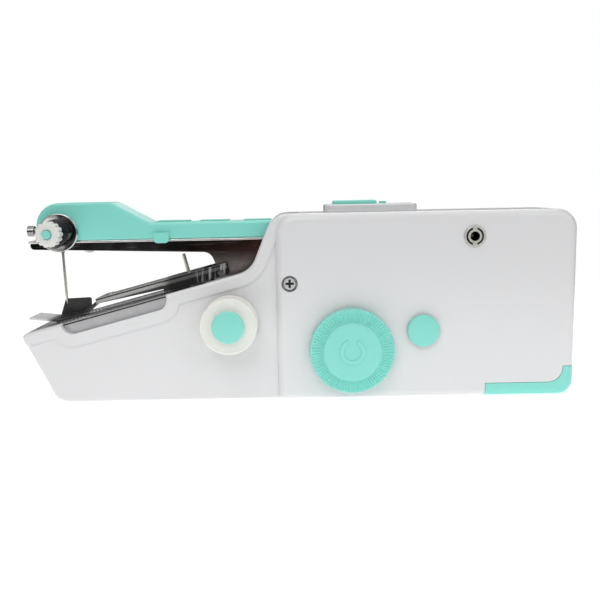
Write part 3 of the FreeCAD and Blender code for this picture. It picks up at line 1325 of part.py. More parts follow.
def switch_set():
    """Platform on the grip's top, the button that presses down in it, its lock and the switch below."""
    save("switch_platform", switch_platform())
    button = box(BUTTON_LEFT, BUTTON_RIGHT, -BUTTON_HALF, BUTTON_HALF, NECK_LOW - 1, BUTTON_TOP)
    button = button.makeFillet(SWITCH_EDGE, edges_at_z(button, BUTTON_TOP))
    keeper_half = BUTTON_HALF + KEEPER_LIP
    keeper_left = BUTTON_LEFT - KEEPER_LIP
    keeper_right = BUTTON_RIGHT + KEEPER_LIP
    keeper_low = NECK_LOW - KEEPER_LOW
    keeper = box(keeper_left, keeper_right, -keeper_half, keeper_half, keeper_low, NECK_LOW - KEEPER_TOP)
    save("power_button", fuse([button, keeper]))
    nub = box(LOCK_LEFT, LOCK_RIGHT, -LOCK_HALF, LOCK_HALF, NECK_LOW - 1, LOCK_TOP)
    runner_half = LOCK_HALF + RUNNER_LIP
    runner_left = LOCK_LEFT - SWITCH_PLAY
    runner_right = LOCK_RIGHT + RUNNER_LENGTH
    runner = box(runner_left, runner_right, -runner_half, runner_half, NECK_LOW - KEEPER_LOW, NECK_LOW - GAP)
    save("lock_slider", fuse([nub, runner]))
    body_top = keeper_low - BUTTON_TRAVEL - GAP
    body_low = body_top - SWITCH_BODY_DEPTH
    leg_low = body_top - SWITCH_LEG_DEPTH
    body = box(*SWITCH_BODY, -SWITCH_BODY_HALF, SWITCH_BODY_HALF, body_low, body_top)
    legs = [box(x, x + 1, -1, 1, leg_low, body_low + 1) for x in SWITCH_LEGS]
    save("switch_block", fuse([body] + legs))
    reach = GRIP_HALF - WALL - END_GAP
    board = box(SWITCH_SHELF_LEFT, SWITCH_SHELF_RIGHT, -reach, reach, leg_low - BOARD_THICK, leg_low)
    save("switch_board", board)


def socket_set():
    """Round power socket in the front wall, with its flange outside and its block inside."""
    face = -GRIP_HALF
    proud = face - SOCKET_PROUD
    floor = SOCKET_BACK - SOCKET_FLOOR
    flange = soften(rod_y(SOCKET_FLANGE, SOCKET_X, SOCKET_Z, proud, face), SOCKET_EDGE, proud)
    barrel = rod_y(SOCKET_RADIUS - FIT, SOCKET_X, SOCKET_Z, face - END_GAP, SOCKET_BACK)
    groove = tube_y(*SOCKET_GROOVE, SOCKET_X, SOCKET_Z, proud - 1, face + GROOVE_DEPTH)
    keys = box(SOCKET_X - KEYWAY_HALF, SOCKET_X + KEYWAY_HALF, -FAR, 0, 0, FAR)
    hole = rod_y(SOCKET_HOLE, SOCKET_X, SOCKET_Z, proud - 1, floor)
    save("dc_socket", fuse([flange, barrel]).cut(groove.cut(keys)).cut(hole))
    save("dc_pin", rod_y(SOCKET_PIN, SOCKET_X, SOCKET_Z, face + SOCKET_PIN_DEPTH, floor))
    nut_front = WALL - GRIP_HALF + END_GAP
    nut = lobed_disc(SOCKET_NUT, NUT_WAVE, NUT_SIDES, SOCKET_X, SOCKET_Z, nut_front, nut_front + NUT_THICK)
    save("dc_nut", nut.cut(rod_y(SOCKET_RADIUS, SOCKET_X, SOCKET_Z, -FAR, 0)))


def cell_places():
    """Plan positions of the four cells, and whether each stands head down."""
    places = []
    for column in (0, 1):
        for row in (0, 1):
            x = CELL_FIRST_X + column * CELL_PITCH
            y = (row - 0.5) * CELL_PITCH
            places.append((x, y, (column + row) % 2 == 1))
    return places


def power_set():
    """Four cells on end, contact plates above and below them, and the lid that closes the bay."""
    cells = []
    upper_tabs = []
    lower_tabs = []
    head = CELL_FOOT + CELL_LENGTH
    floor = WALL - BASE_DROP
    for x, y, head_down in cell_places():
        lift = CELL_NUB_RISE if head_down else 0
        body = Part.makeCylinder(CELL_RADIUS, CELL_LENGTH - CELL_NUB_RISE, V(x, y, CELL_FOOT + lift))
        nub = Part.makeCylinder(CELL_NUB, CELL_LENGTH, V(x, y, CELL_FOOT))
        cells.append(fuse([body, nub]))
        upper_tabs.append(rod(CONTACT_TAB, V(x, y, head + CELL_PLAY), V(x, y, head + CONTACT_RISE)))
        lower_tabs.append(rod(CONTACT_TAB, V(x, y, floor), V(x, y, CELL_FOOT - CELL_PLAY)))
    save("cells", Part.makeCompound(cells))
    reach = CELL_PITCH / 2 + CONTACT_HALF
    middle_x = CELL_FIRST_X + CELL_PITCH / 2
    upper_top = head + CONTACT_RISE
    upper = []
    lower = []
    for side in (-1, 1):
        y = side * CELL_PITCH / 2
        x = middle_x + y
        near = y - CONTACT_HALF
        far = y + CONTACT_HALF
        upper.append(box(middle_x - reach, middle_x + reach, near, far, upper_top - CONTACT_SHEET, upper_top))
        lower.append(box(x - CONTACT_HALF, x + CONTACT_HALF, -reach, reach, floor, floor + CONTACT_SHEET))
    save("cell_contacts", fuse(upper + upper_tabs))
    save("lid_contacts", fuse(lower + lower_tabs))
    shell = soften(prism_y(grip_outline(0), -GRIP_HALF, GRIP_HALF), GRIP_EDGE, -GRIP_HALF, GRIP_HALF)
    hollow = prism_y(grip_outline(WALL), WALL - GRIP_HALF, GRIP_HALF - WALL)
    save("battery_lid", shell.cut(hollow).common(lid_region(LID_PLAY)))


def main():
    os.makedirs("parts", exist_ok=True)
    front, rear = screw_seats(*split_casing())
    save("front_shell", front)
    save("rear_shell", rear)
    fasteners()
    bushes()
    drive_train()
    motor()
    arm()
    save("needle_plate", needle_plate())
    feed_parts()
    looper_parts()
    save("push_rod", push_rod())
    presser()
    bobbin_set()
    switch_set()
    socket_set()
    power_set()


if __name__ == "__main__":
    main()
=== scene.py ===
"""Handheld sewing machine: finishes, turned and wound pieces, stage and camera, laid out as an add-on."""
import json
import math

import bmesh
import bpy
import numpy as np
from bpy.props import FloatProperty, FloatVectorProperty, IntProperty, PointerProperty
from mathutils import Matrix, Vector


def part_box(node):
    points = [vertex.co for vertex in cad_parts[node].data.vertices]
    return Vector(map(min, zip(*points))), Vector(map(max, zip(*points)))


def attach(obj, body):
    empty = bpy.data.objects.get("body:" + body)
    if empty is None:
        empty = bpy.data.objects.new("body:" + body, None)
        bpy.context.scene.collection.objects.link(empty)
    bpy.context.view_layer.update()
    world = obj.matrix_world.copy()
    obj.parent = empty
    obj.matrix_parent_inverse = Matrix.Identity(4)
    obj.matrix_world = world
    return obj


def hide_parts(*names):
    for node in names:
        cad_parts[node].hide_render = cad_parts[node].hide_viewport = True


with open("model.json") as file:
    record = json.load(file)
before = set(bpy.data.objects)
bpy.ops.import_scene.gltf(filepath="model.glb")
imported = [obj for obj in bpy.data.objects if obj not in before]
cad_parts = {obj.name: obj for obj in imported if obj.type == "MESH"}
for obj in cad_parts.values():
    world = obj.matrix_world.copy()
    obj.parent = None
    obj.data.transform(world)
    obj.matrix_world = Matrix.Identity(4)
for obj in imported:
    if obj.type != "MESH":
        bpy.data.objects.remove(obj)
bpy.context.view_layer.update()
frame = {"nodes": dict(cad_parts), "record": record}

NODES = frame["nodes"]
SLOT_OF = {row["node"]: row["material_slot"] for row in frame["record"]["subparts"]}
BODY_OF = {node: body for body, members in frame["record"]["behaviour"]["bodies"].items() for node in members}
MM = 0.001
TAU = 2 * math.pi
DECK_SLOPE = math.radians(14.5)
DECK_NORMAL = Vector((-math.sin(DECK_SLOPE), 0.0, math.cos(DECK_SLOPE)))
DECK_POINT = Vector((-27.5, 0.0, 47.25)) * MM

bl_info = {
    "name": "Handheld Sewing Machine",
    "version": (1, 0, 0),
    "blender": (4, 5, 0),
    "location": "View3D > Sidebar > Sewing",
    "description": "Dresses the packed sewing machine with its finishes and its turned and wound pieces",
    "category": "Add Mesh",
}


class SewingColours(bpy.types.PropertyGroup):
    """Colours of the machine's finishes."""

    casing: FloatVectorProperty(
        name="Casing", description="White of the moulded casing", subtype="COLOR", size=4,
        default=(0.765, 0.765, 0.775, 1.0))
    mint: FloatVectorProperty(
        name="Mint", description="Green of the cover, wheel and buttons", subtype="COLOR", size=4,
        default=(0.258, 0.755, 0.66, 1.0))
    knob: FloatVectorProperty(
        name="Knob", description="Off-white of the tension knob", subtype="COLOR", size=4,
        default=(0.80, 0.79, 0.76, 1.0))
    bobbin: FloatVectorProperty(
        name="Bobbin", description="Milky white of the bobbin", subtype="COLOR", size=4,
        default=(0.84, 0.83, 0.77, 1.0))
    chrome: FloatVectorProperty(
        name="Chrome", description="Tint of the bright plating", subtype="COLOR", size=4,
        default=(0.72, 0.71, 0.70, 1.0))
    plate: FloatVectorProperty(
        name="Plate", description="Tint of the satin sheet steel", subtype="COLOR", size=4,
        default=(0.74, 0.74, 0.75, 1.0))


class SewingSizes(bpy.types.PropertyGroup):
    """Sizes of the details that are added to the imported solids."""

    edge: FloatProperty(
        name="Edge", description="Rounding of the moulded and folded edges", unit="LENGTH",
        default=0.22 * MM, min=0.0, precision=5)
    ridges: IntProperty(
        name="Wheel ridges", description="Ridges round the hand wheel", default=80, min=12)
    ridge_height: FloatProperty(
        name="Ridge height", description="Height of a hand wheel ridge", unit="LENGTH",
        default=0.45 * MM, precision=5)
    lobes: IntProperty(
        name="Knob lobes", description="Scallops round the tension knob", default=14, min=6)
    spring_turns: FloatProperty(
        name="Spring turns", description="Turns of the tension spring", default=4.0, min=1.0)
    spring_wire: FloatProperty(
        name="Spring wire", description="Thickness of the spring wire", unit="LENGTH",
        default=0.9 * MM, precision=5)


class SewingCamera(bpy.types.PropertyGroup):
    """The viewpoint of the photograph, for a square picture."""

    picture: IntProperty(name="Picture", description="Width of the picture in pixels", default=600)
    focal: FloatProperty(name="Focal length", description="Focal length in pixels", default=795.0)
    distance: FloatProperty(
        name="Distance", description="From the camera to the point it looks at", unit="LENGTH", default=0.300)
    pitch: FloatProperty(
        name="Pitch", description="How far the camera looks down", subtype="ANGLE", default=math.radians(7.7))
    roll: FloatProperty(
        name="Roll", description="How far the picture leans", subtype="ANGLE", default=math.radians(1.09))
    target: FloatVectorProperty(
        name="Target", description="Point in the middle of the picture", subtype="XYZ", unit="LENGTH",
        default=(0.0, -0.0175, 0.0385))


def settings():
    """The sizes and the colours that are set on the scene."""
    return bpy.context.scene.sewing_sizes, bpy.context.scene.sewing_colours


def grid_quads(rows, columns, closed_rows=False, closed_columns=False):
    """Corner numbers of the quads of a grid, as one array; a closed side joins its last line to its first."""
    row = np.arange(rows if closed_rows else rows - 1)[:, None]
    column = np.arange(columns if closed_columns else columns - 1)[None, :]
    next_row = (row + 1) % rows
    next_column = (column + 1) % columns
    corners = [
        row * columns + column, row * columns + next_column,
        next_row * columns + next_column, next_row * columns + column,
    ]
    return np.stack(corners, axis=-1).reshape(-1, 4)


def mesh_from_grid(name, points, closed_rows=False, closed_columns=False):
    """A mesh whose quads join neighbouring points of a rows x columns grid."""
    rows, columns = points.shape[:2]
    quads = grid_quads(rows, columns, closed_rows, closed_columns)
    mesh = bpy.data.meshes.new(name)
    mesh.from_pydata(points.reshape(-1, 3).tolist(), [], quads.tolist())
    return mesh


def close_and_smooth(mesh, sharp_degrees):
    """Join doubled points, drop faces that shrank to nothing, turn faces outwards and mark sharp edges."""
    work = bmesh.new()
    work.from_mesh(mesh)
    bmesh.ops.remove_doubles(work, verts=work.verts, dist=2e-6)
    bmesh.ops.dissolve_degenerate(work, edges=work.edges, dist=1e-7)
    bmesh.ops.recalc_face_normals(work, faces=work.faces)
    work.to_mesh(mesh)
    work.free()
    mesh.shade_smooth()
    mesh.set_sharp_from_angle(angle=math.radians(sharp_degrees))
    return mesh


def add_piece(name, mesh, node, material):
    """Put a finished mesh in the scene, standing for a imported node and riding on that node's body."""
    piece = bpy.data.objects.new(name, mesh)
    bpy.context.scene.collection.objects.link(piece)
    mesh.materials.clear()
    mesh.materials.append(material)
    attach(piece, BODY_OF[node])
    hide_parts(node)
    return piece


def centre_of(node):
    """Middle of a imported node's box."""
    low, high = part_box(node)
    return (low + high) / 2


def turned(profile, centre, segments):
    """Surface of revolution about Y: each (radius, y) of the profile is carried once round the centre."""
    profile = np.asarray(profile, float)
    angle = np.linspace(0, TAU, segments, endpoint=False)[None, :]
    radius = profile[:, 0][:, None]
    x = centre.x + radius * np.cos(angle)
    z = centre.z + radius * np.sin(angle)
    y = np.broadcast_to(profile[:, 1][:, None], x.shape)
    return np.stack([x, y, z], axis=-1)


def rounded_profile(corners, steps=6):
    """A (radius, y) line whose corners (radius, y, rounding) are eased by quadratic curves.

    Each corner P with rounding d is the curve (1-t)^2 A + 2t(1-t) P + t^2 B, where A and B lie a
    distance d from P towards its neighbours.
    """
    points = np.array([corner[:2] for corner in corners], float)
    line = [points[:1]]
    t = np.linspace(0, 1, steps)[:, None]
    for index in range(1, len(corners) - 1):
        before = points[index - 1] - points[index]
        after = points[index + 1] - points[index]
        ease = corners[index][2]
        start = points[index] + before * min(0.49, ease / np.linalg.norm(before))
        end = points[index] + after * min(0.49, ease / np.linalg.norm(after))
        line.append((1 - t) ** 2 * start + 2 * t * (1 - t) * points[index] + t ** 2 * end)
    line.append(points[-1:])
    return np.concatenate(line)


def smooth_step(low, high, value):
    """0 below low, 1 above high, and 3s^2 - 2s^3 between them."""
    share = np.clip((value - low) / (high - low), 0, 1)
    return share * share * (3 - 2 * share)


def merged_copy(node, name, material, edge, sharp_degrees=28.0):
    """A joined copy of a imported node's mesh with its hard edges rounded by a small bevel."""
    mesh = NODES[node].data.copy()
    mesh.name = name
    work = bmesh.new()
    work.from_mesh(mesh)
    bmesh.ops.remove_doubles(work, verts=work.verts, dist=2e-6)
    bmesh.ops.dissolve_limit(
        work, angle_limit=math.radians(0.6), verts=work.verts, edges=work.edges, use_dissolve_boundaries=False)
    work.to_mesh(mesh)
    work.free()
    mesh.shade_smooth()
    mesh.set_sharp_from_angle(angle=math.radians(sharp_degrees))
    piece = add_piece(name, mesh, node, material)
    if edge > 0:
        bevel = piece.modifiers.new("Edge", "BEVEL")
        bevel.width = edge
        bevel.segments = 2
        bevel.limit_method = "ANGLE"
        bevel.angle_limit = math.radians(sharp_degrees)
        weighted = piece.modifiers.new("Shading", "WEIGHTED_NORMAL")
        weighted.keep_sharp = False
    return piece


# Shader nodes and groups of the finishes


def new_group(name, inputs, outputs):
    """An empty shader group with (name, socket type, default) inputs and (name, socket type) outputs."""
    group = bpy.data.node_groups.new(name, "ShaderNodeTree")
    for label, kind, default in inputs:
        socket = group.interface.new_socket(name=label, in_out="INPUT", socket_type=kind)
        if default is not None:
            socket.default_value = default
    for label, kind in outputs:
        group.interface.new_socket(name=label, in_out="OUTPUT", socket_type=kind)
    return group


def add_node(tree, kind, links=(), **values):
    """A node with its attributes set and its inputs linked or given values, by name or number."""
    node = tree.nodes.new(kind)
    for key, value in values.items():
        setattr(node, key, value)
    for socket, source in links:
        target = node.inputs[socket]
        if isinstance(source, bpy.types.NodeSocket):
            tree.links.new(source, target)
        else:
            target.default_value = source
    return node


def noise(tree, place, scale, detail=3.0, roughness=0.55, distortion=0.0):
    """Cloudy noise over a place."""
    return add_node(tree, "ShaderNodeTexNoise", [
        ("Vector", place), ("Scale", scale), ("Detail", detail), ("Roughness", roughness),
        ("Distortion", distortion)])


def ramp(tree, value, low, high, dark=0.0, light=1.0):
    """Map a value from low..high to dark..light, held at both ends."""
    return add_node(tree, "ShaderNodeMapRange", [
        ("Value", value), ("From Min", low), ("From Max", high), ("To Min", dark), ("To Max", light)])


def math_node(tree, operation, first, second):
    """Sum, difference or product of two values."""
    return add_node(tree, "ShaderNodeMath", [(0, first), (1, second)], operation=operation)


def mixed(tree, share, first, second, blend="MIX"):
    """Two colours mixed by a share."""
    node = add_node(
        tree, "ShaderNodeMix", [("Factor", share), (6, first), (7, second)], data_type="RGBA", blend_type=blend)
    return node.outputs[2]


def object_place(tree):
    """Object coordinates."""
    return tree.nodes.new("ShaderNodeTexCoord").outputs["Object"]


def axes(tree):
    """Object coordinates as separate X, Y and Z."""
    return add_node(tree, "ShaderNodeSeparateXYZ", [("Vector", object_place(tree))]).outputs


def stretched(tree, scale, turn=(0.0, 0.0, 0.0)):
    """Object coordinates turned, and drawn out by a scale along each axis."""
    node = add_node(tree, "ShaderNodeMapping", [
        ("Vector", object_place(tree)), ("Rotation", turn), ("Scale", scale)])
    return node.outputs["Vector"]


def colour_ramp(tree, value, stops):
    """A value turned into a colour by (place from 0 to 1, red-green-blue) stops."""
    node = add_node(tree, "ShaderNodeValToRGB", [("Fac", value)])
    points = node.color_ramp.elements
    for index, (spot, colour) in enumerate(stops):
        point = points[index] if index < 2 else points.new(spot)
        point.position = spot
        point.color = (*colour, 1.0)
    return node.outputs["Color"]


def moulded_group():
    """Moulded plastic: slow drift in tone, fine grain in the surface, dull patches from handling."""
    group = new_group(
        "Moulded Plastic",
        [("Colour", "NodeSocketColor", None), ("Shade", "NodeSocketColor", None),
         ("Grain", "NodeSocketFloat", 1.0), ("Gloss", "NodeSocketFloat", 0.3)],
        [("Colour", "NodeSocketColor"), ("Roughness", "NodeSocketFloat"), ("Height", "NodeSocketFloat")])
    given = group.nodes.new("NodeGroupInput")
    put = group.nodes.new("NodeGroupOutput")
    place = object_place(group)
    drift = noise(group, place, 14.0, 1.0)
    fine = noise(group, place, 700.0, 1.0, 0.5)
    flow = noise(group, stretched(group, (40.0, 160.0, 160.0)), 1.0, 3.0)
    rubbed = noise(group, place, 90.0, 4.0, 0.65)
    tone = ramp(group, drift.outputs["Fac"], 0.3, 0.7)
    colour = mixed(group, tone.outputs["Result"], given.outputs["Colour"], given.outputs["Shade"])
    dull = ramp(group, rubbed.outputs["Fac"], 0.3, 0.75, 0.97, 1.05)
    rough = math_node(group, "MULTIPLY", given.outputs["Gloss"], dull.outputs["Result"])
    soft = math_node(group, "MULTIPLY", flow.outputs["Fac"], 0.5)
    total = math_node(group, "ADD", fine.outputs["Fac"], soft.outputs["Value"])
    height = math_node(group, "MULTIPLY", total.outputs["Value"], given.outputs["Grain"])
    group.links.new(colour, put.inputs["Colour"])
    group.links.new(rough.outputs["Value"], put.inputs["Roughness"])
    group.links.new(height.outputs["Value"], put.inputs["Height"])
    return group


def metal_group():
    """Rolled or plated metal: long fine lines along one way, cloudy tone and scattered scratches."""
    group = new_group(
        "Worked Metal",
        [("Colour", "NodeSocketColor", None), ("Stain", "NodeSocketColor", None),
         ("Lines", "NodeSocketFloat", 1.0), ("Gloss", "NodeSocketFloat", 0.2)],
        [("Colour", "NodeSocketColor"), ("Roughness", "NodeSocketFloat"), ("Height", "NodeSocketFloat")])
    given = group.nodes.new("NodeGroupInput")
    put = group.nodes.new("NodeGroupOutput")
    lines = noise(group, stretched(group, (60.0, 2600.0, 2600.0)), 1.0, 2.0)
    cloud = noise(group, object_place(group), 120.0, 4.0, 0.6, 0.4)
    scratch = noise(group, stretched(group, (90.0, 2200.0, 900.0), (0.3, 0.9, 0.5)), 1.0, 1.0, 0.4)
    marks = ramp(group, scratch.outputs["Fac"], 0.68, 0.74)
    tone = ramp(group, cloud.outputs["Fac"], 0.35, 0.7)
    colour = mixed(group, tone.outputs["Result"], given.outputs["Colour"], given.outputs["Stain"])
    veil = ramp(group, cloud.outputs["Fac"], 0.3, 0.75, 0.75, 1.5)
    rough = math_node(group, "MULTIPLY", given.outputs["Gloss"], veil.outputs["Result"])
    worn = math_node(group, "MULTIPLY", marks.outputs["Result"], 0.12)
    roughest = math_node(group, "ADD", rough.outputs["Value"], worn.outputs["Value"])
    ground = math_node(group, "MULTIPLY", lines.outputs["Fac"], given.outputs["Lines"])
    cut = math_node(group, "MULTIPLY", marks.outputs["Result"], -0.4)
    height = math_node(group, "ADD", ground.outputs["Value"], cut.outputs["Value"])
    group.links.new(colour, put.inputs["Colour"])
    group.links.new(roughest.outputs["Value"], put.inputs["Roughness"])
    group.links.new(height.outputs["Value"], put.inputs["Height"])
    return group


def deck_depth(tree):
    """Depth below the sloping deck in metres: the deck's height along its normal less the place's own."""
    place = object_place(tree)
    height = add_node(tree, "ShaderNodeVectorMath", [(0, place), (1, DECK_NORMAL)], operation="DOT_PRODUCT")
    return math_node(tree, "SUBTRACT", DECK_POINT.dot(DECK_NORMAL), height.outputs["Value"])


def colour_group(name):
    """A group that takes a colour and puts one out, with the socket to read and the socket to link to."""
    group = new_group(name, [("Colour", "NodeSocketColor", None)], [("Colour", "NodeSocketColor")])
    given = group.nodes.new("NodeGroupInput")
    put = group.nodes.new("NodeGroupOutput")
    return group, given.outputs["Colour"], put.inputs["Colour"]


def painted_reflection_group(name, stops, rear=None, streaks=None):
    """Paints reflections onto a colour in bands by depth below the deck, with a darker rear part and lighter
    upright streaks.

    The stops are (depth in millimetres, share of the colour) pairs from the top down; their light and dark
    bands are painted reflections. The rear part is two places along X in millimetres between which it
    darkens into a painted dark reflection, and its share; the streaks are the two places between which
    they fade in.
    """
    group, given, put = colour_group(name)
    first, last = stops[0][0], stops[-1][0]
    # painted reflections: the colour's share in bands by depth below the deck
    level = ramp(group, deck_depth(group).outputs["Value"], first * MM, last * MM)
    spots = [((depth - first) / (last - first), (share, share, share)) for depth, share in stops]
    value = colour_ramp(group, level.outputs["Result"], spots)
    # painted dark reflection over the rear part
    if rear:
        darker = ramp(group, axes(group)["X"], rear[0] * MM, rear[1] * MM, 1.0, rear[2])
        value = math_node(group, "MULTIPLY", value, darker.outputs["Result"]).outputs["Value"]
    if streaks:
        ribs = noise(group, stretched(group, (900.0, 60.0, 60.0)), 1.0, 1.0)
        rib = ramp(group, ribs.outputs["Fac"], 0.48, 0.60, 0.0, 0.55)
        begun = ramp(group, axes(group)["X"], streaks[0] * MM, streaks[1] * MM)
        extra = math_node(group, "MULTIPLY", rib.outputs["Result"], begun.outputs["Result"])
        value = math_node(group, "ADD", value, extra.outputs["Value"]).outputs["Value"]
    group.links.new(mixed(group, 1.0, given, value, "MULTIPLY"), put)
    return group


def wall_painted_reflection_group():
    """Paints reflections onto the arm's wall: a painted highlight along its lip, a near black painted
    reflection below, warm by the grip, and a pale painted reflection low down.

    The wall's painted reflection runs along X; the lip's painted highlight takes over above a height along Z,
    the pale painted reflection below another, and thin slanting scratches, which are wear, lighten what is
    left.
    """
    group, given, put = colour_group("Wall Painted Reflections And Scratches")
    place = axes(group)
    along = ramp(group, place["X"], -105 * MM, -6 * MM)
    # painted reflection along X: near black, warm by the grip
    shade = colour_ramp(group, along.outputs["Result"], [
        (0.0, (0.06, 0.06, 0.06)), (0.40, (0.16, 0.16, 0.16)), (0.58, (0.04, 0.037, 0.035)),
        (0.78, (0.10, 0.055, 0.045)), (1.0, (0.24, 0.12, 0.10))])
    scratches = noise(group, stretched(group, (60.0, 60.0, 1500.0), (0.0, 0.7, 0.0)), 1.0, 1.0)
    lines = ramp(group, scratches.outputs["Fac"], 0.62, 0.74, 0.0, 0.16)
    # painted pale reflection low down at the throat
    deep = ramp(group, place["Z"], 57 * MM, 49 * MM, 0.0, 0.5)
    light = math_node(group, "ADD", lines.outputs["Result"], deep.outputs["Result"])
    paler = mixed(group, 1.0, shade, light.outputs["Value"], "ADD")
    # painted highlight along the folded lip
    lip = ramp(group, place["Z"], 60.75 * MM, 60.95 * MM)
    total = mixed(group, lip.outputs["Result"], paler, (1.0, 1.0, 1.0, 1.0))
    group.links.new(mixed(group, 1.0, given, total, "MULTIPLY"), put)
    return group


def painted_recess_shade_group(name, face, depth, dark):
    """Paints shade into a recess: turns a colour dark behind a face that looks along -Y, fully so at a depth
    behind it.
    """
    group, given, put = colour_group(name)
    inward = ramp(group, axes(group)["Y"], face + depth / 3, face + depth)
    group.links.new(mixed(group, inward.outputs["Result"], given, dark), put)
    return group


def finish_material(name, group, values, bump_depth, bands=None, **shader):
    """A material whose colour, roughness and relief come from a group; the rest is set on the shader.

    The bands, where given, are a second group that paints light and shade over the first one's colour: painted
    reflections, highlights and shade in recesses.
    """
    material = bpy.data.materials.new(name)
    material.use_nodes = True
    tree = material.node_tree
    principled = tree.nodes["Principled BSDF"]
    effect = tree.nodes.new("ShaderNodeGroup")
    effect.node_tree = group
    for key, value in values.items():
        effect.inputs[key].default_value = value
    bump = add_node(tree, "ShaderNodeBump", [
        ("Height", effect.outputs["Height"]), ("Distance", bump_depth), ("Strength", 1.0)])
    colour = effect.outputs["Colour"]
    # the second group paints reflections, highlights and recess shade over the colour
    if bands:
        shading = tree.nodes.new("ShaderNodeGroup")
        shading.node_tree = bands
        tree.links.new(colour, shading.inputs["Colour"])
        colour = shading.outputs["Colour"]
    tree.links.new(colour, principled.inputs["Base Color"])
    tree.links.new(effect.outputs["Roughness"], principled.inputs["Roughness"])
    tree.links.new(bump.outputs["Normal"], principled.inputs["Normal"])
    for key, value in shader.items():
        principled.inputs[key.replace("_", " ")].default_value = value
    return material


def shaded(colour, share):
    """The same colour made darker or lighter by a share."""
    return tuple(channel * share for channel in colour[:3]) + (1.0,)


MATERIALS = {}


def finish_of(node):
    """A finish made for the node alone, or else the one of its slot."""
    return MATERIALS.get(node, MATERIALS[SLOT_OF[node]])


